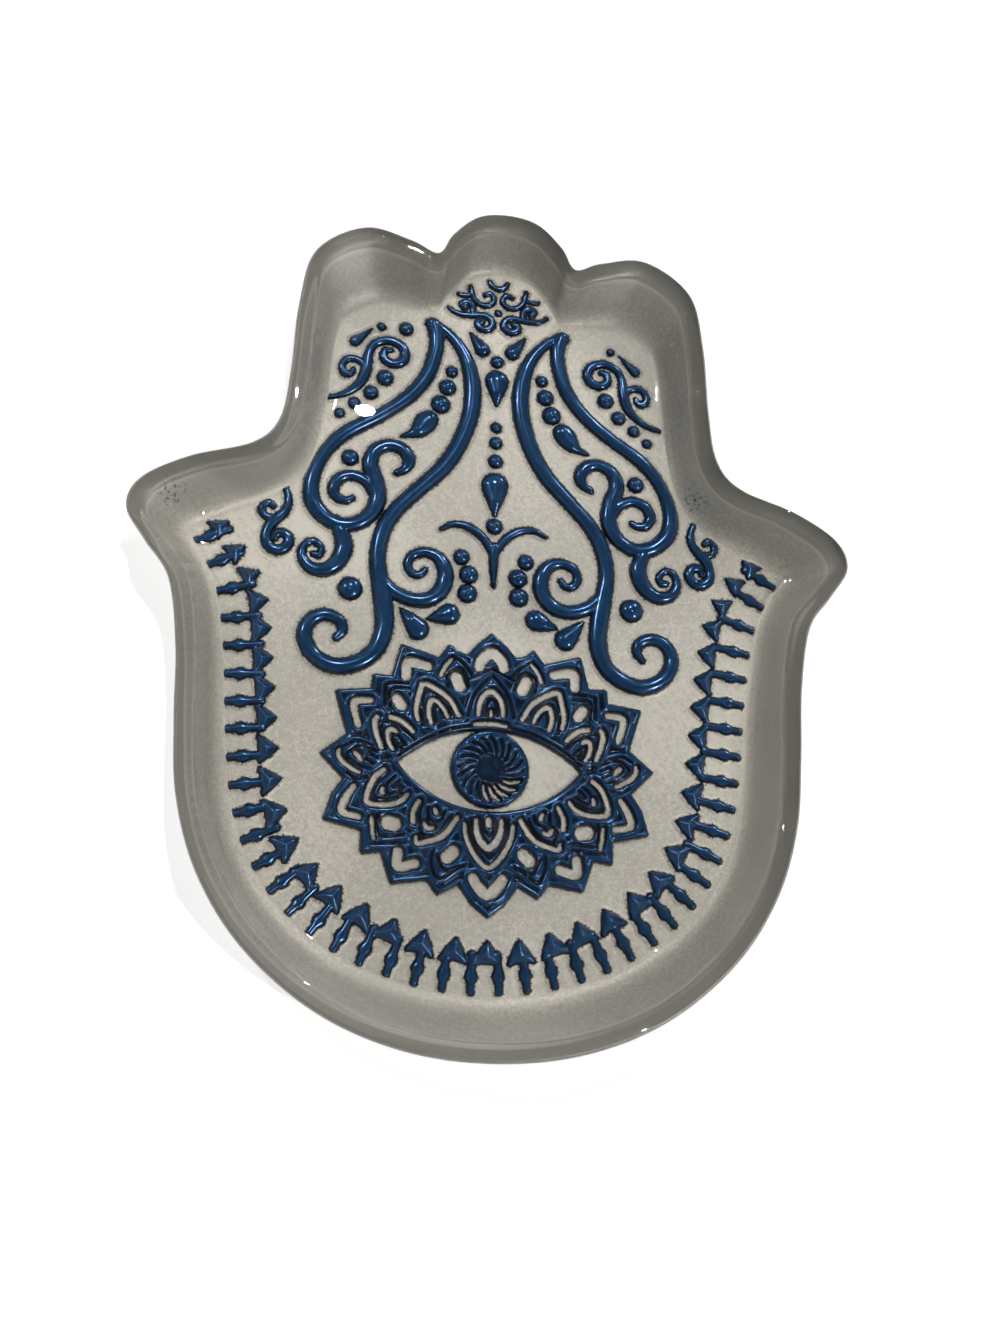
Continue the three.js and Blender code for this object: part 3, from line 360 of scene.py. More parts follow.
class DishStage(bpy.types.PropertyGroup):
    """Camera, floor and lamps."""

    camera_place: FloatVectorProperty(
        name="Camera place", description="Where the camera stands", subtype="TRANSLATION", unit="LENGTH",
        default=(-0.05103, -0.09338, 0.27239))
    camera_turn: FloatVectorProperty(
        name="Camera turn", description="The camera's XYZ angles", subtype="EULER", unit="ROTATION",
        default=(0.292215, -0.196967, 0.015785))
    lens: number_setting("Lens", "Focal length in millimetres", 40.51)
    key_power: number_setting("Key power", "Watts of the key lamp", 1.8)
    downlight_power: number_setting("Downlight power", "Watts of a downlight with a share of 1", 1.0)
    horizon_light: number_setting("Horizon light", "Light of the surroundings' edge", 0.32)
    zenith_light: number_setting("Zenith light", "Light of the surroundings overhead", 0.05)
    floor_colour: colour_setting("Floor colour", "Colour of the pale floor", (0.85, 0.85, 0.85))


# Curves and distances


def smooth_curve(points, steps, closed=False):
    """Catmull-Rom curve: between two points a cubic whose slopes come from the points on either side."""
    knots = np.asarray(points, float)
    if closed:
        before, here, after, beyond = (np.roll(knots, shift, axis=0) for shift in (1, 0, -1, -2))
    else:
        padded = np.vstack([2 * knots[0] - knots[1], knots, 2 * knots[-1] - knots[-2]])
        before, here, after, beyond = padded[:-3], padded[1:-2], padded[2:-1], padded[3:]
    t = (np.arange(steps) / steps)[None, :, None]
    before, here, after, beyond = (part[:, None, :] for part in (before, here, after, beyond))
    curve = 0.5 * (2 * here + (after - before) * t + (2 * before - 5 * here + 4 * after - beyond) * t ** 2
                   + (3 * here - before - 3 * after + beyond) * t ** 3)
    curve = curve.reshape(-1, knots.shape[1])
    return curve if closed else np.vstack([curve, knots[-1]])


def along_segments(points, starts, ends, visit, block=8):
    """Hands visit() the points near a few segments at a time, with distances and places along them."""
    for first in range(0, len(starts), block):
        a, b = starts[first:first + block], ends[first:first + block]
        low, high = np.minimum(a, b).min(0) - REACH, np.maximum(a, b).max(0) + REACH
        rows = np.flatnonzero(((points > low) & (points < high)).all(axis=1))
        run = b - a
        offset = points[rows, None, :] - a[None]
        way = np.clip((offset * run).sum(-1) / np.maximum((run * run).sum(-1), 1e-9), 0, 1)
        offset -= way[..., None] * run
        visit(first, rows, way, np.sqrt((offset * offset).sum(-1)))


def stroke_depth(points, stroke, steps=5, grow=0.0):
    """Depth of points in a stroke of changing width, positive inside, and the stroke's half width there.

    The stroke is the union of round cones along its smooth curve: radius minus distance, the largest one.
    """
    line = smooth_curve(stroke, steps)
    centre, radius = line[:, :2], np.maximum(line[:, 2] / 2, THINNEST) + grow
    best = np.full(len(points), -REACH)
    half = np.full(len(points), 0.5)

    def visit(first, rows, way, distance):
        count = way.shape[1]
        low, high = radius[first:first + count], radius[first + 1:first + 1 + count]
        width = low + way * (high - low)
        depth = width - distance
        pick = depth.argmax(axis=1)[:, None]
        depth, width = (np.take_along_axis(values, pick, 1)[:, 0] for values in (depth, width))
        better = depth > best[rows]
        best[rows[better]] = depth[better]
        half[rows[better]] = width[better]

    along_segments(points, centre[:-1], centre[1:], visit)
    return best, half


def polygon_depth(points, corners):
    """Distance to a closed outline, positive inside, which is found by counting the edges to the right."""
    corners = np.asarray(corners, float)
    nearest = np.full(len(points), REACH)

    def visit(first, rows, way, distance):
        nearest[rows] = np.minimum(nearest[rows], distance.min(axis=1))

    along_segments(points, corners, np.roll(corners, -1, axis=0), visit)
    (ax, ay), (bx, by) = corners.T, np.roll(corners, -1, axis=0).T
    x, y = points[:, :1], points[:, 1:]
    spans = (ay > y) != (by > y)
    with np.errstate(divide="ignore", invalid="ignore"):
        crossing = x < ax + (y - ay) * (bx - ax) / (by - ay)
    inside = (spans & crossing).sum(axis=1) % 2 == 1
    return np.where(inside, nearest, -nearest)


def widened(loop, distance):
    """Clockwise loop with its corners moved out along their mean normals, sharp ones not too far."""
    corners = np.asarray(loop, float)
    run = np.roll(corners, -1, axis=0) - corners
    normal = np.stack([-run[:, 1], run[:, 0]], 1) / np.linalg.norm(run, axis=1, keepdims=True)
    mean = normal + np.roll(normal, 1, axis=0)
    mean /= np.linalg.norm(mean, axis=1, keepdims=True)
    return corners + distance * mean / np.maximum((mean * normal).sum(1, keepdims=True), 0.4)


def line_distance(points, line):
    """Distance to a smooth line through the given points."""
    path = smooth_curve(line, 4)
    nearest = np.full(len(points), REACH)

    def visit(first, rows, way, distance):
        nearest[rows] = np.minimum(nearest[rows], distance.min(axis=1))

    along_segments(points, path[:-1], path[1:], visit)
    return nearest


def dome(share):
    """Quarter circle: 0 at the edge with an upright start, 1 with a level end."""
    return np.sqrt(1 - (1 - np.clip(share, 0, 1)) ** 2)


def mirror_line(line):
    """The same list on the other side of the middle line."""
    return [(-corner[0], *corner[1:]) for corner in line]


def stroke_field(strokes, sizes):
    """Depth and height of a group of strokes: each a dome over its own width, the highest one counts."""
    def field(points):
        depth = np.full(len(points), -1e3)
        height = np.zeros(len(points))
        for stroke in strokes:
            inside, half = stroke_depth(points, stroke, grow=INK)
            rise = np.minimum(RIDGE_BASE + sizes.ridge_rise * half, sizes.ridge_limit / MM)
            height = np.maximum(height, rise * dome(inside / half))
            depth = np.maximum(depth, inside)
        return depth, height, depth
    return field


def eye_openings(points):
    """Depth in the pearl parts of the eye: the white between two lids round the iris, and open rays."""
    def lid(rise, sign):
        radius = (EYE_CORNER ** 2 + rise ** 2) / (2 * rise)
        return radius - np.hypot(points[:, 0], points[:, 1] + sign * (radius - rise))
    iris = np.hypot(points[:, 0], points[:, 1] + IRIS_DROP) - IRIS_RADIUS
    white = np.minimum(np.minimum(lid(LID_UP, 1), lid(LID_DOWN, -1)), iris)
    for number in range(OPEN_RAYS):
        white = np.maximum(white, stroke_depth(points, iris_ray(number))[0])
    return white


def iris_ray(number):
    """One slit of the iris: runs outwards and turns with the power 1.2 of its distance from the pupil."""
    reach, width = np.array(RAY).T
    turn = np.radians(FIRST_RAY) + number * 2 * np.pi / IRIS_RAYS + RAY_TURN * (reach - RAY_FOOT) ** 1.2
    return np.column_stack([reach * np.cos(turn), reach * np.sin(turn) - IRIS_DROP, width])


def medallion_field():
    """Depth and height of the eye medallion: a round ridge along each opening and each blue groove.

    A ridge rises as a quarter circle over half its width from the edge or groove, then dips towards the
    middle of broad parts, where two ridges meet.
    """
    leaves = MEDALLION_HALF + mirror_line(MEDALLION_HALF[-2:0:-1])
    core = widened(leaves, TIP_GROWTH - TIP_ROUND)
    slots = LEAF_SLOTS + [mirror_line(slot) for slot in LEAF_SLOTS] + UPRIGHT_SLOTS
    slots += [slot + mirror_line(slot)[-2::-1] for slot in MIDDLE_SLOTS]
    grooves = LEAF_GROOVES + [mirror_line(groove) for groove in LEAF_GROOVES]
    rays = [iris_ray(number)[:, :2] for number in range(OPEN_RAYS, IRIS_RAYS)]

    def field(points):
        depth = np.minimum(polygon_depth(points, core) + TIP_ROUND, -eye_openings(points))
        for slot in slots:
            depth = np.minimum(depth, -stroke_depth(points, slot, 4)[0] - SLOT_GROWTH)
        valley = np.full(len(points), 1e3)
        for groove in grooves + rays:
            valley = np.minimum(valley, line_distance(points, groove))
        edge = np.minimum(depth, valley + GROOVE_EDGE)
        dip = np.clip((edge - DIP_START) / DIP_RUN, 0, 1)
        trough = GROOVE_LEFT + (1 - GROOVE_LEFT) * dome(valley / GROOVE_HALF)
        height = TUBE_RISE * np.minimum(dome(depth / TUBE), trough) * (1 - DIP * dip ** 2)
        pupil = np.hypot(points[:, 0], points[:, 1] + IRIS_DROP) < PUPIL_RADIUS
        # Painted shade: darker along edges and grooves and in the middle of broad parts, where the relief
        # dips.
        tone = np.minimum(np.minimum(depth, 1.3 * valley), np.maximum(1.6 - edge, 0.25))
        return depth, np.where(pupil, PUPIL_RISE, height), np.where(pupil, PUPIL_TONE, tone)
    return field


def along_border(points, count):
    """Places at equal steps along a smooth line, and the direction across it towards the eye at each."""
    line = smooth_curve(points, 24)
    reach = np.concatenate([[0], np.cumsum(np.linalg.norm(np.diff(line, axis=0), axis=1))])
    stops = np.linspace(0, reach[-1], count)
    here = np.stack([np.interp(stops, reach, line[:, axis]) for axis in (0, 1)], 1)
    slope = np.gradient(line, reach, axis=0)
    run = np.stack([np.interp(stops, reach, slope[:, axis]) for axis in (0, 1)], 1)
    run /= np.linalg.norm(run, axis=1, keepdims=True)
    return zip(here, np.stack([-run[:, 1], run[:, 0]], 1))


def border_field():
    """Depth and height of the spear border: each shaft is a dome over its width, each head a steep roof."""
    shafts = [[(*(end + reach * inwards), width) for reach, width in SHAFT]
              for end, inwards in along_border(SHAFT_ENDS, SHAFTS)]
    heads = []
    along, across = np.array(HEAD + [(reach, -wide) for reach, wide in reversed(HEAD)]).T[..., None]
    for point, inwards in along_border(HEAD_POINTS, HEADS):
        sideways = np.array([-inwards[1], inwards[0]]) * np.interp(point[1], *HEAD_WIDTHS)
        inwards = inwards * np.interp(point[1], *HEAD_LENGTHS)
        heads.append(point + (along - HEAD_LENGTH) * inwards + across * sideways)
    margin = 1.5

    def field(points):
        depth = np.full(len(points), -REACH)
        height = np.zeros(len(points))
        for shaft in shafts:
            inside, half = stroke_depth(points, shaft, 3, INK)
            height = np.maximum(height, SHAFT_RISE * dome(inside / half))
            depth = np.maximum(depth, inside)
        for head in heads:
            near = ((points > head.min(0) - margin) & (points < head.max(0) + margin)).all(axis=1)
            inside = polygon_depth(points[near], head) + INK
            height[near] = np.maximum(height[near], HEAD_RISE * np.maximum(inside, 0) ** HEAD_BULGE)
            depth[near] = np.maximum(depth[near], inside)
        return depth, height, depth
    return field


# Meshes from arrays


def relief(field, box, step, band):
    """Closed solid over the part of the plane whose depth lies within band.

    A square grid is kept where the depth at a cell's middle is in the band, its outer points are pulled
    along the depth's slope on to the band's end, the field gives each point's height, and a flat copy
    closes it below.
    """
    low_x, low_y, high_x, high_y = box
    across, along = np.arange(low_x, high_x + step, step), np.arange(low_y, high_y + step, step)
    grid = np.stack(np.meshgrid(across, along), -1)
    rows, columns = grid.shape[:2]
    depth = field(grid.reshape(-1, 2))[0].reshape(rows, columns)
    middle = 0.25 * (depth[:-1, :-1] + depth[1:, :-1] + depth[:-1, 1:] + depth[1:, 1:])
    cells = (middle > band[0]) & (middle < band[1])
    # Cells that touch only at a corner get a neighbour, so that the solid has clean edges.
    for _ in range(3):
        cells[1:, :-1] |= cells[:-1, :-1] & cells[1:, 1:] & ~cells[1:, :-1] & ~cells[:-1, 1:]
        cells[:-1, :-1] |= cells[1:, :-1] & cells[:-1, 1:] & ~cells[:-1, :-1] & ~cells[1:, 1:]
    ringed = np.pad(cells, 1)
    around = ringed[:-1, :-1].astype(int) + ringed[1:, :-1] + ringed[:-1, 1:] + ringed[1:, 1:]
    used = around > 0
    number = np.full((rows, columns), -1)
    number[used] = np.arange(used.sum())
    points = grid[used]
    edge = (around < 4)[used]
    near = depth[used][edge]
    goal = np.where(np.abs(near - band[0]) < np.abs(near - band[1]), band[0], band[1])
    pulled = points[edge]
    reach = 0.05
    for _ in range(4):
        here = field(pulled)[0]
        slope = np.stack([field(pulled + shift)[0] - field(pulled - shift)[0]
                          for shift in ((reach, 0), (0, reach))], 1) / (2 * reach)
        pull = ((goal - here) / np.maximum((slope ** 2).sum(1), 0.2))[:, None] * slope
        length = np.linalg.norm(pull, axis=1, keepdims=True)
        pulled += pull * np.minimum(1, 0.6 * step / np.maximum(length, 1e-9))
    points[edge] = pulled
    _, height, tone = field(points)
    count = len(points)
    top = np.column_stack([points, height])
    cell_rows, cell_columns = np.nonzero(cells)
    corner = [number[cell_rows, cell_columns], number[cell_rows, cell_columns + 1],
              number[cell_rows + 1, cell_columns + 1], number[cell_rows + 1, cell_columns]]
    faces = [np.column_stack(corner), np.column_stack(corner[::-1]) + count]
    beside = [ringed[cell_rows, cell_columns + 1], ringed[cell_rows + 1, cell_columns + 2],
              ringed[cell_rows + 2, cell_columns + 1], ringed[cell_rows + 1, cell_columns]]
    for side, taken in enumerate(beside):
        a, b = corner[side][~taken], corner[(side + 1) % 4][~taken]
        faces.append(np.column_stack([b, a, a + count, b + count]))
    flat = np.column_stack([points, np.full(count, np.nan)])
    return np.vstack([top, flat]), faces, np.concatenate([tone, tone])


def turned(profile, centre, sides):
    """Closed solid of revolution about an upright axis; profile is a closed loop of (radius, height)."""
    profile = np.asarray(profile, float)
    angle = np.linspace(0, 2 * np.pi, sides, endpoint=False)
    radius, height = profile[:, :1], np.repeat(profile[:, 1:], sides, axis=1)
    x, y = centre[0] + radius * np.cos(angle), centre[1] + radius * np.sin(angle)
    points = np.stack([x, y, height], -1).reshape(-1, 3)
    ring = np.arange(len(profile) * sides).reshape(len(profile), sides)
    above, beside = np.roll(ring, -1, axis=0), np.roll(ring, -1, axis=1)
    faces = np.stack([ring, beside, np.roll(above, -1, axis=1), above], -1).reshape(-1, 4)
    return points, [faces]


def loft(rings, cap):
    """Skin through equal rings, lowest first and anticlockwise; cap fills both ends, else they join."""
    count = len(rings[0])
    points = np.vstack(rings)
    ring = np.arange(len(points)).reshape(len(rings), count)
    low = ring[:-1] if cap else ring
    high = ring[1:] if cap else np.roll(ring, -1, axis=0)
    faces = [np.stack([low, np.roll(low, -1, axis=1), np.roll(high, -1, axis=1), high], -1).reshape(-1, 4)]
    if cap:
        faces += [ring[:1, ::-1], ring[-1:]]
    return points, faces


def mirrored(points, faces):
    """The same mesh on the other side of the middle line, its faces turned to stay outwards."""
    return points * (-1, 1, 1), [face[:, ::-1] for face in faces]


def joined(meshes):
    """Several meshes' points, faces and values as one."""
    faces, start = [], 0
    for points, some_faces, _ in meshes:
        faces += [face + start for face in some_faces]
        start += len(points)
    return np.vstack([mesh[0] for mesh in meshes]), faces, np.concatenate([mesh[2] for mesh in meshes])


# Outline and section of the dish


def outline(half, steps=8):
    """Closed smooth outline of the hand from its right half, anticlockwise from the heel."""
    return smooth_curve(half + mirror_line(half[-2:0:-1]), steps, closed=True)


def hand_rings(section):
    """Rings of the dish: each a share of the way from foot to rim, an inset from there and a height."""
    foot, rim = outline(FOOT_HALF), outline(RIM_HALF)
    out = rim - foot
    length = np.linalg.norm(out, axis=1, keepdims=True)
    return [np.column_stack([foot + (share - inset / length) * out, np.full(len(foot), height)])
            for share, inset, height in section]


def foot_section(way):
    """Rounding of the foot as a parabola touching the underside and the wall: share, inset and height."""
    return FOOT_SHARE * way ** 2, FOOT_ROUND * (1 - way) ** 2, wall_height(FOOT_SHARE * way ** 2)


def lip_section(turn, under=0.0):
    """Lip as a squarish half ellipse, turning from its outer to its inner side: share, inset and height."""
    over, up = np.sign(np.cos(turn)) * np.abs(np.cos(turn)) ** LIP, np.sin(turn) ** LIP
    return 1, WALL / 2 - (WALL / 2 - under) * over, RIM_EDGE + (RIM_TOP - RIM_EDGE - under) * up


def wall_height(share):
    """Height over the table of the outside of the wall."""
    return GLASS_UNDER + share * (RIM_EDGE - GLASS_UNDER)


def coat_faces(points):
    """Heights of the coat's upper and under face near the foot: level, then a parabola to the wall."""
    depth = polygon_depth(points, outline(FOOT_HALF, 4))
    way = np.clip((FOOT_ROUND - depth) / (2 * FOOT_ROUND), 0, 1)
    height = wall_height(FOOT_SHARE * way ** 2)
    return height + (COAT_TOP - GLASS_UNDER) * (1 - way) ** 2, height - GLASS_UNDER * (1 - way)


def set_height(points):
    """Heights counted from the coat become heights over the table; unset ones are hidden in the coat."""
    placed = points.copy()
    placed[:, 1] += EYE_LEVEL
    over, under = coat_faces(placed[:, :2])
    placed[:, 2] = np.where(np.isnan(points[:, 2]), (over + under) / 2, over + points[:, 2])
    return placed


def make_piece(name, points, faces, finish, slot, replaced=(), layers=None, sharp=None):
    """Puts arrays in millimetres into a mesh object that rides on the dish and stands for its CAD nodes."""
    mesh = bpy.data.meshes.new(name)
    corners = np.concatenate([face.ravel() for face in faces]).astype(np.int32)
    totals = np.concatenate([np.full(len(face), face.shape[1]) for face in faces]).astype(np.int32)
    mesh.vertices.add(len(points))
    mesh.vertices.foreach_set("co", (points * MM).astype(np.float32).ravel())
    mesh.loops.add(len(corners))
    mesh.loops.foreach_set("vertex_index", corners)
    mesh.polygons.add(len(totals))
    mesh.polygons.foreach_set("loop_start", np.concatenate([[0], np.cumsum(totals)[:-1]]).astype(np.int32))
    mesh.polygons.foreach_set("use_smooth", np.ones(len(totals), bool))
    for key, values in (layers or {}).items():
        layer = mesh.attributes.new(key, "FLOAT", "POINT")
        layer.data.foreach_set("value", values.astype(np.float32))
    mesh.update(calc_edges=True)
    if mesh.validate():
        raise RuntimeError(f"{name} has faulty faces")
    if sharp:
        mesh.set_sharp_from_angle(angle=sharp)
    mesh.materials.append(finish)
    piece = bpy.data.objects.new(name, mesh)
    bpy.context.scene.collection.objects.link(piece)
    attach(piece, "root")
    if replaced:
        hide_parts(*replaced)
    return piece


# Finishes


class Signal:
    """A socket's value in an expression: arithmetic on it adds Math nodes to its material."""

    def __init__(self, finish, socket):
        self.finish, self.socket = finish, socket

    def _math(self, operation, first, second):
        return self.finish.node("ShaderNodeMath", {"operation": operation}, {0: first, 1: second})

    def __add__(self, other):
        return self._math("ADD", self, other)

    def __sub__(self, other):
        return self._math("SUBTRACT", self, other)

    def __rsub__(self, other):
        return self._math("SUBTRACT", other, self)

    def __mul__(self, other):
        return self._math("MULTIPLY", self, other)

    __radd__, __rmul__ = __add__, __mul__


class Shading:
    """A node tree under construction."""

    def __init__(self, tree):
        self.tree = tree

    def node(self, kind, settings=None, sockets=None, output=0):
        """Adds a node, with its settings first, then its sockets' values or links; returns one output."""
        made = self.tree.nodes.new(kind)
        for key, value in (settings or {}).items():
            setattr(made, key, value)
        for key, value in (sockets or {}).items():
            self.put(made.inputs[key], value)
        return Signal(self, made.outputs[output])

    def put(self, socket, value):
        """Links or sets one socket."""
        if isinstance(value, Signal):
            self.tree.links.new(value.socket, socket)
        else:
            socket.default_value = value

    def place(self, scale=(1, 1, 1), turn=0.0, shift=(0, 0, 0)):
        """Object coordinates, turned about the upright axis and scaled."""
        coordinates = self.node("ShaderNodeTexCoord", output="Object")
        return self.node("ShaderNodeMapping", {"vector_type": "TEXTURE"}, {
            "Vector": coordinates, "Location": shift, "Rotation": (0, 0, turn), "Scale": scale})

    def noise(self, scale, detail=2.0, vector=None):
        """Grain of the given size: scale is features a metre."""
        return self.node("ShaderNodeTexNoise", None, {
            "Vector": vector or self.place(), "Scale": scale, "Detail": detail})

    def ease(self, value, low, high, start=0.0, end=1.0):
        """Smooth step of a value from start at low to end at high."""
        return self.node("ShaderNodeMapRange", {"interpolation_type": "SMOOTHSTEP"}, {
            "Value": value, "From Min": low, "From Max": high, "To Min": start, "To Max": end})

    def blend(self, share, first, second):
        """Mix of two colours."""
        return self.node("ShaderNodeMix", {"data_type": "RGBA"}, {0: share, 6: first, 7: second}, output=2)

    def bump(self, height, strength, distance):
        """Normal of a surface with the given fine relief."""
        return self.node("ShaderNodeBump", None, {
            "Height": height, "Strength": strength, "Distance": distance})


class Finish(Shading):
    """A material under construction, with one Principled shader."""

    def __init__(self, name):
        self.material = bpy.data.materials.new(name)
        self.material.use_nodes = True
        super().__init__(self.material.node_tree)
        self.shader = next(node for node in self.tree.nodes if node.type == "BSDF_PRINCIPLED")

    def set(self, **sockets):
        """Links or sets the Principled shader's sockets, named with underscores for spaces."""
        for key, value in sockets.items():
            self.put(self.shader.inputs[key.replace("_", " ")], value)


def colour(value):
    """A colour property with full alpha."""
    return (*value, 1.0)


def finished(name, build):
    """The material of that name, built at its first use."""
    return bpy.data.materials.get(name) or build(name)


def clear_glass(name):
    """Clear pressed glass with a faint waviness and a few smudges."""
    colours = bpy.context.scene.dish_colours
    finish = Finish(name)
    wave = finish.noise(45, 1.0)
    smudge = finish.ease(finish.noise(60, 3.0), 0.55, 0.75)
    finish.set(Base_Color=colour(colours.glass), Roughness=0.004 + 0.02 * smudge, IOR=1.5,
               Transmission_Weight=1.0, Normal=finish.bump(wave, 0.15, 0.0002))
    return finish.material


def pearl_lacquer(name):
    """Satin silver-beige pearl: fine grain, faint slanting fibres, drifts of tone; painted shade greys it
    up the wall.
    """
    colours = bpy.context.scene.dish_colours
    finish = Finish(name)
    grain = finish.noise(2700, 3.0)
    speckle = finish.noise(1300, 2.0)
    patches = finish.noise(30, 2.0)
    fibres = finish.noise(1500, 1.0, finish.place((1, 9, 1), 0.75))
    fibres = fibres * finish.ease(finish.noise(22, 1.0), 0.45, 0.65)
    tone = finish.ease(0.4 * grain + 0.35 * speckle + 0.2 * fibres + 0.3 * patches, 0.43, 0.68)
    place = finish.place()
    across, along, height = (
        finish.node("ShaderNodeSeparateXYZ", None, {0: place}, output=axis) for axis in range(3))
    body = finish.blend(tone, colour(colours.pearl_shade), colour(colours.pearl))
    wall = finish.blend(tone, colour(colours.wall_shade), colour(colours.wall))
    # Painted shade in a band near the rim, and a painted highlight in the bright line just under it.
    rim = finish.ease(height, RIM_BAND, RIM_BAND + 0.0003)
    line = finish.ease(height, RIM_BAND - RIM_LINE, RIM_BAND) * (1 - rim)
    wall = finish.blend(0.6 * line, wall, colour(colours.pearl))
    wall = finish.blend(rim, wall, colour(colours.rim))
    # Painted shade: the coat takes the darker, greyer wall tones from the foot up the wall and on the side
    # fingers' floor.
    fingers = finish.ease(along, 0.035, 0.065) * finish.ease(across * across, 0.00014, 0.0007)
    body = finish.blend(finish.ease(height, 0.0006, 0.0056) + 0.75 * fingers, body, wall)
    away = [finish.node("ShaderNodeVectorMath", {"operation": "DISTANCE"}, {0: place, 1: spot}, output=1)
            for spot in WEAR_PLACES]
    worn = finish.ease(finish.noise(1700, 2.0), 0.56, 0.62) * sum(
        finish.ease(distance, 0.001, WEAR_REACH, 1, 0) for distance in away)
    spill = finish.node("ShaderNodeAttribute", {"attribute_name": "spill"}, output="Fac")
    specks = finish.ease(finish.noise(2300, 3.0) + 0.3 * spill, 0.74, 0.8) * finish.ease(spill, 0, 0.4)
    body = finish.blend(0.8 * worn, body, colour(colours.worn))
    finish.set(Base_Color=finish.blend(0.85 * specks, body, colour(colours.enamel_deep)),
               Metallic=finish.ease(height, 0.0006, 0.004, 0.3, 0.5),
               Roughness=finish.ease(grain, 0.3, 0.7, 0.4, 0.52),
               Normal=finish.bump(0.7 * grain + 0.4 * fibres, 0.5, 0.0001))
    return finish.material


def blue_enamel(name):
    """Metallic royal-blue enamel, mottled; painted shade near black at its edges, a painted highlight on
    its crowns.
    """
    colours = bpy.context.scene.dish_colours
    finish = Finish(name)
    depth = finish.node("ShaderNodeAttribute", {"attribute_name": "edge_depth"}, output="Fac")
    mottle = finish.noise(800, 3.0)
    flake = finish.noise(3600, 2.0)
    # Painted highlight and shade: brighter towards the crowns, near black towards the edges; the mottle is
    # the enamel's own.
    share = finish.ease(0.4 * mottle + 0.6 * finish.ease(depth, 0.1, 0.7), 0.35, 0.9)
    body = finish.blend(share, colour(colours.enamel_deep), colour(colours.enamel))
    edge = finish.ease(depth + 0.3 * flake - 0.15, 0.02, 0.38)
    finish.set(Base_Color=finish.blend(edge, colour(colours.enamel_edge_painted_shade), body), Metallic=0.6,
               Roughness=finish.ease(mottle, 0.3, 0.7, 0.14, 0.22), Coat_Weight=0.55, Coat_Roughness=0.14,
               Normal=finish.bump(0.6 * mottle + 0.4 * flake, 0.1, 0.00012))
    return finish.material


# Operators


class DISH_OT_glass(bpy.types.Operator):
    """Adds the clear glass body."""

    bl_idname = "dish.glass"
    bl_label = "Glass"

    def execute(self, context):
        foot = [foot_section(way) for way in np.linspace(0, 1, 7)]
        outside = [(share, 0, wall_height(share)) for share in np.linspace(FOOT_SHARE, 1, 7)[1:]]
        lip = [lip_section(turn) for turn in np.radians(np.arange(10, 180, 10))]
        inside = [tuple(row) for row in smooth_curve(HOLLOW, 4)]
        section = [(0, FOOT_ROUND + 1, GLASS_UNDER)] + foot + outside + lip + inside
        points, faces = loft(hand_rings(section), True)
        piece = make_piece("clear_glass_dish", points, faces, finished("pressed_glass", clear_glass),
                           "clear_glass", ["glass_dish"], sharp=SHARP)
        piece.visible_shadow = False
        return {"FINISHED"}


class DISH_OT_pearl(bpy.types.Operator):
    """Adds the pearl coat under the floor and on the wall."""

    bl_idname = "dish.pearl"
    bl_label = "Pearl coat"

    def execute(self, context):
        pearl = finished("pearl_lacquer", pearl_lacquer)
        inset = FOOT_ROUND + FLOOR_LAP
        points, faces = loft(hand_rings([(0, inset, 0), (0, inset, COAT_TOP)]), True)
        make_piece("pearl_floor", points, faces, pearl, "pearl_coat", ["pearl_floor_coat"], sharp=SHARP)
        over = COAT_TOP - GLASS_UNDER
        inside = [(0, FOOT_ROUND + WALL_LAP, COAT_TOP - LAP_STEP)]
        outside = [(0, FOOT_ROUND + WALL_LAP, LAP_STEP)]
        for way in np.linspace(0, 1, 7):
            share, inset, height = foot_section(way)
            inside.append((share, inset + FOOT_IN, height + over * (1 - way) ** 2))
            outside.append((share, inset - COAT_OUT * way, height - GLASS_UNDER * (1 - way)))
        for share in np.linspace(FOOT_SHARE, 1, 8)[1:]:
            inside.append((share, COAT_IN, wall_height(share)))
            outside.append((share, -COAT_OUT * min(1, (1 - share) / COAT_FADE), wall_height(share)))
        for turn in np.radians(np.arange(10, COAT_TURN + 1, 10)):
            inside.append(lip_section(turn, COAT_IN))
            outside.append(lip_section(turn, LIP_IN))
        points, faces = loft(hand_rings(outside + inside[::-1]), False)
        make_piece("pearl_wall", points, faces, pearl, "pearl_coat", ["pearl_wall_coat"], sharp=SHARP)
        return {"FINISHED"}


def bead(dot, sizes):
    """Round drop of enamel: a quarter circle turned about its middle, with a flat hidden underside."""
    x, y, radius = dot
    rise = min(BEAD_BASE + BEAD_RISE * radius, sizes.ridge_limit / MM)
    angle = np.linspace(0, np.pi / 2, BEAD_STEPS)
    arc = zip(np.maximum(radius * np.cos(angle), PIN), rise * np.sin(angle))
    points, faces = turned([(PIN, np.nan), (radius, np.nan), *arc], (x, y), BEAD_SIDES)
    depth = radius - np.hypot(points[:, 0] - x, points[:, 1] - y)
    return points, faces, depth


def spilt(depth):
    """How likely stray enamel lies on the pearl: 1 at the enamel's edge, nothing a little way off."""
    return np.clip(1 + depth / SPILL, 0, 1)


def halo_height(share, rise):
    """Height of the raised pearl: eases from just under the coat at its outer edge to its full rise."""
    return rise * share ** 2 * (3 - 2 * share) - HALO_SINK * (1 - share) ** 4


def bead_halo(dot, sizes):
    """Raised pearl round a bead: a low slope turned about the bead's middle."""
    x, y, radius = dot
    wide, rise = sizes.halo_width / MM, sizes.halo_rise / MM
    way = np.linspace(0, 1, HALO_STEPS)
    slope = zip(radius + wide - way * (wide + HALO_LAP), halo_height(way, rise))
    profile = [(radius - HALO_LAP, np.nan), (radius + wide, np.nan), *slope]
    points, faces = turned(profile, (x, y), BEAD_SIDES)
    return points, faces, spilt(radius - np.hypot(points[:, 0] - x, points[:, 1] - y))


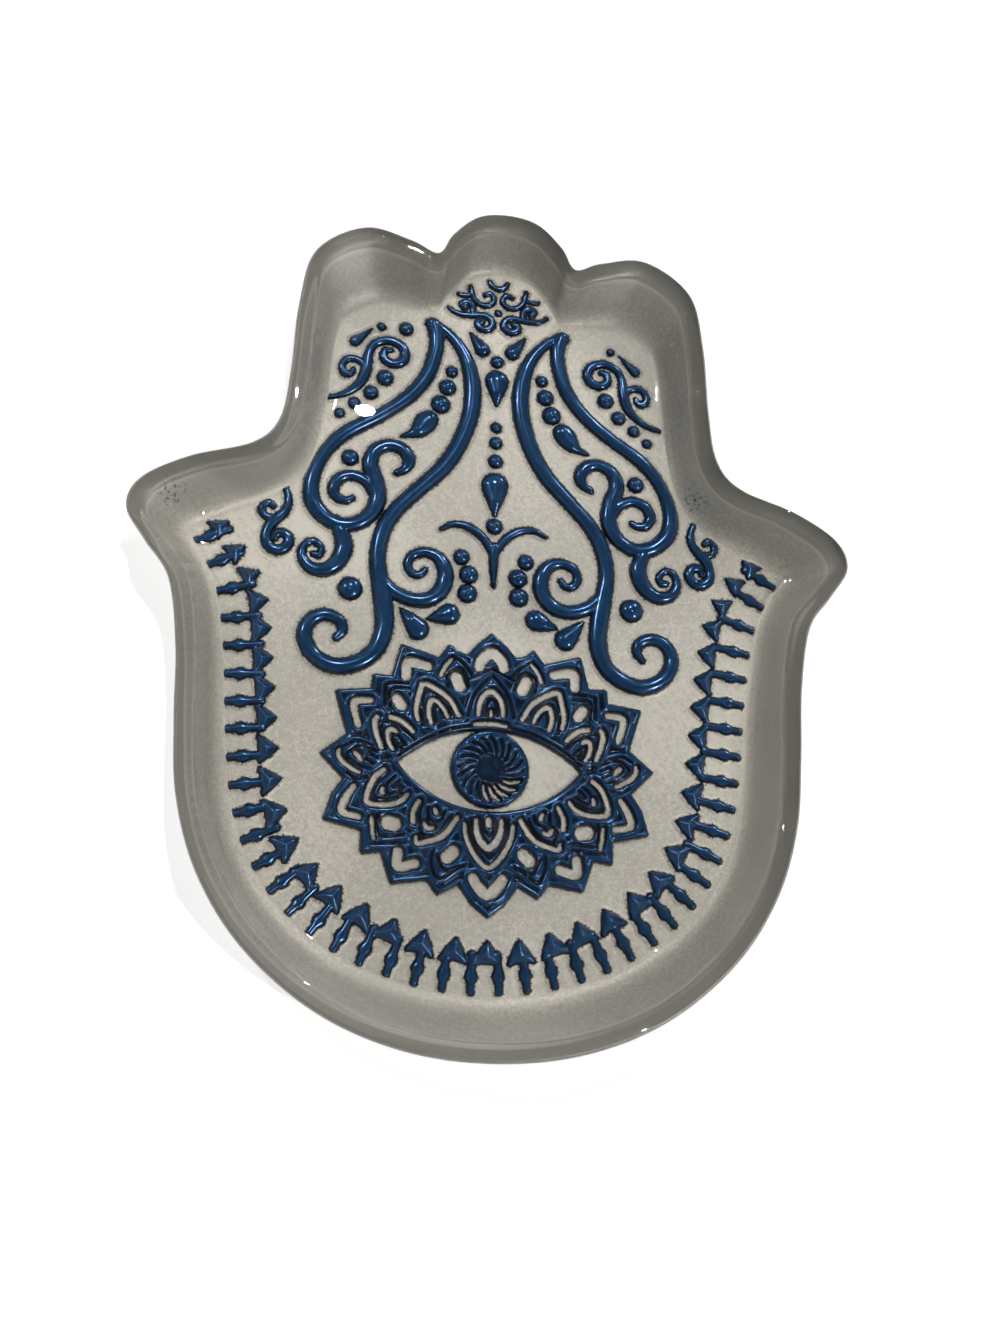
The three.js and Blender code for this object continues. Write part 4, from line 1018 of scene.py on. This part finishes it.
def halo_field(field, wide, rise):
    """Depth as given, and the height of the raised pearl, which ends a little way in under the enamel."""
    def halo(points):
        depth = field(points)[0]
        share = np.clip((depth + wide) / (wide + HALO_LAP), 0, 1)
        return depth, halo_height(share, rise), depth
    return halo


def box_of(strokes, margin=1.2):
    """Corners of the rectangle round some strokes."""
    rows = np.array([corner for stroke in strokes for corner in stroke], float)
    reach = rows[:, 2].max() / 2 + margin
    return (*(rows[:, :2].min(0) - reach), *(rows[:, :2].max(0) + reach))


def enamel_and_halo(field, box, step, nodes, halo, sides=(1,)):
    """Adds an enamel relief, on both sides of the middle line if asked, and returns its halo meshes."""
    wide, rise = halo
    enamel = finished("royal_enamel", blue_enamel)
    points, faces, depth = relief(field, box, step, (0.0, 1e3))
    halo_points, halo_faces, halo_depth = relief(
        halo_field(field, wide, rise), box, step, (-wide, HALO_LAP))
    points = set_height(points)
    halo_points = set_height(halo_points)
    halos = []
    for side, node in zip(sides, nodes):
        solid = (points, faces) if side > 0 else mirrored(points, faces)
        make_piece(f"enamel_{node}", *solid, enamel, "blue_enamel", [node], {"edge_depth": depth})
        solid = (halo_points, halo_faces) if side > 0 else mirrored(halo_points, halo_faces)
        halos.append((*solid, spilt(halo_depth)))
    return halos


def add_halos(name, halos):
    """Adds the raised pearl of a group of inlays as one piece."""
    points, faces, spill = joined(halos)
    pearl = finished("pearl_lacquer", pearl_lacquer)
    make_piece(name, points, faces, pearl, "pearl_coat", (), {"spill": spill})


class DISH_OT_medallion(bpy.types.Operator):
    """Adds the eye medallion and the raised pearl round it."""

    bl_idname = "dish.medallion"
    bl_label = "Eye medallion"

    def execute(self, context):
        sizes = context.scene.dish_sizes
        halo = (sizes.fine_halo_width / MM, sizes.fine_halo_rise / MM)
        step = EYE_FINENESS * sizes.fine_step / MM
        add_halos("pearl_relief_eye", enamel_and_halo(
            medallion_field(), EYE_BOX, step, ["eye_medallion"], halo))
        return {"FINISHED"}


class DISH_OT_border(bpy.types.Operator):
    """Adds the spear border and the raised pearl round it."""

    bl_idname = "dish.border"
    bl_label = "Spear border"

    def execute(self, context):
        sizes = context.scene.dish_sizes
        halo = (sizes.halo_width / MM, sizes.halo_rise / MM)
        add_halos("pearl_relief_border", enamel_and_halo(
            border_field(), BORDER_BOX, BORDER_STEP, ["spear_border"], halo))
        return {"FINISHED"}


class DISH_OT_scrolls(bpy.types.Operator):
    """Adds the vines, scrolls and drops and the raised pearl round them."""

    bl_idname = "dish.scrolls"
    bl_label = "Vines, scrolls and drops"

    def execute(self, context):
        sizes = context.scene.dish_sizes
        step = sizes.fine_step / MM
        halo = (sizes.halo_width / MM, sizes.halo_rise / MM)
        halos = []
        paired = {
            "vine": VINE, "finger_scroll": FINGER_SCROLL, "thumb_scroll": THUMB_SCROLL,
            "crown_scroll": CROWN_SCROLL, "crown_swirl": CROWN_SWIRL, "paisley_comma": COMMA, **SIDE_DROPS}
        for name, strokes in paired.items():
            halos += enamel_and_halo(stroke_field(strokes, sizes), box_of(strokes), step,
                                     [f"{name}_right", f"{name}_left"], halo, (1, -1))
        for name, strokes in {"crown_arc": CROWN_ARC, "anchor": ANCHOR, **CENTRE_DROPS}.items():
            halos += enamel_and_halo(stroke_field(strokes, sizes), box_of(strokes), step, [name], halo)
        add_halos("pearl_relief_scrolls", halos)
        return {"FINISHED"}


class DISH_OT_beads(bpy.types.Operator):
    """Adds the dots and beads and the raised pearl round them."""

    bl_idname = "dish.beads"
    bl_label = "Dots and beads"

    def execute(self, context):
        sizes = context.scene.dish_sizes
        enamel = finished("royal_enamel", blue_enamel)
        dots = dict(CENTRE_DOTS)
        for name, (x, y, radius) in SIDE_DOTS.items():
            dots.update({f"{name}_right": (x, y, radius), f"{name}_left": (-x, y, radius)})
        halos = []
        for name, dot in dots.items():
            points, faces, depth = bead(dot, sizes)
            make_piece(f"enamel_{name}", set_height(points), faces, enamel, "blue_enamel",
                       [name], {"edge_depth": depth})
            points, faces, spill = bead_halo(dot, sizes)
            halos.append((set_height(points), faces, spill))
        add_halos("pearl_relief_beads", halos)
        return {"FINISHED"}


def add_lamp(name, place, size, power):
    """Square soft lamp that faces the dish."""
    lamp = bpy.data.lights.new(name, "AREA")
    lamp.size, lamp.energy = size, power
    holder = bpy.data.objects.new(name, lamp)
    bpy.context.scene.collection.objects.link(holder)
    holder.location = place
    holder.rotation_euler = (-holder.location).to_track_quat("-Z", "Y").to_euler()
    return holder


class DISH_OT_stage(bpy.types.Operator):
    """Adds the pale floor, the lamps, the surroundings and the camera."""

    bl_idname = "dish.stage"
    bl_label = "Stage"

    def execute(self, context):
        scene, stage = context.scene, context.scene.dish_stage
        finish = Finish("pale_floor")
        rays = ("Is Camera Ray", "Is Glossy Ray", "Is Transmission Ray")
        seen = sum(finish.node("ShaderNodeLightPath", output=ray) for ray in rays)
        glow = finish.blend(finish.ease(seen, 0, 1), (0, 0, 0, 1), colour([FLOOR_GLOW] * 3))
        finish.set(Base_Color=colour(stage.floor_colour), Roughness=0.9, Specular_IOR_Level=0.0,
                   Emission_Color=glow, Emission_Strength=1.0)
        corners = [(-1, -1), (1, -1), (1, 1), (-1, 1)]
        points = [(FLOOR_HALF * x, FLOOR_HALF * y, -FLOOR_GAP) for x, y in corners]
        mesh = bpy.data.meshes.new("floor")
        mesh.from_pydata(points, [], [(0, 1, 2, 3)])
        mesh.materials.append(finish.material)
        floor = bpy.data.objects.new("floor", mesh)
        scene.collection.objects.link(floor)
        key = add_lamp("key", KEY_PLACE, KEY_SIZE[0], stage.key_power)
        key.data.shape, key.data.size_y = "ELLIPSE", KEY_SIZE[1]
        for number, (place, size, share) in enumerate(DOWNLIGHTS):
            add_lamp(f"downlight_{number + 1}", place, size, share * stage.downlight_power)
        world = bpy.data.worlds.new("surroundings")
        world.use_nodes = True
        sky = Shading(world.node_tree)
        direction = sky.node("ShaderNodeTexCoord", output="Generated")
        height = sky.node("ShaderNodeSeparateXYZ", None, {0: direction}, output=2)
        low, high = ((light, light, light, 1) for light in (stage.horizon_light, stage.zenith_light))
        light = sky.blend(sky.ease(height, 0, 0.9), low, high)
        sky.put(world.node_tree.nodes["Background"].inputs["Color"], light)
        scene.world = world
        eye = bpy.data.cameras.new("camera")
        eye.sensor_fit, eye.sensor_height, eye.lens = "VERTICAL", SENSOR, stage.lens
        eye.clip_start = 0.01
        camera = bpy.data.objects.new("camera", eye)
        scene.collection.objects.link(camera)
        camera.location, camera.rotation_euler = stage.camera_place, stage.camera_turn
        scene.camera = camera
        scene.view_settings.view_transform = "Standard"
        return {"FINISHED"}


class DISH_PT_panel(bpy.types.Panel):
    """Lists the dish's sizes, colours and steps."""

    bl_idname = "DISH_PT_panel"
    bl_label = "Hamsa dish"
    bl_space_type = "VIEW_3D"
    bl_region_type = "UI"
    bl_category = "Dish"

    def draw(self, context):
        for name, kind in GROUPS.items():
            for key in kind.__annotations__:
                self.layout.prop(getattr(context.scene, name), key)
        for operator in OPERATORS:
            self.layout.operator(operator.bl_idname)


GROUPS = {"dish_sizes": DishSizes, "dish_colours": DishColours, "dish_stage": DishStage}
OPERATORS = (
    DISH_OT_glass, DISH_OT_pearl, DISH_OT_medallion, DISH_OT_border, DISH_OT_scrolls, DISH_OT_beads,
    DISH_OT_stage)


def register():
    """Registers the property groups, operators and panel."""
    for kind in (*GROUPS.values(), *OPERATORS, DISH_PT_panel):
        bpy.utils.register_class(kind)
    for name, kind in GROUPS.items():
        setattr(bpy.types.Scene, name, PointerProperty(type=kind))


def unregister():
    """Removes what register() added."""
    for name in GROUPS:
        delattr(bpy.types.Scene, name)
    for kind in (DISH_PT_panel, *OPERATORS, *GROUPS.values()):
        bpy.utils.unregister_class(kind)


def main():
    """Builds every piece and the stage."""
    register()
    for step in ("glass", "pearl", "medallion", "border", "scrolls", "beads", "stage"):
        getattr(bpy.ops.dish, step)()


if __name__ == "__main__":
    main()
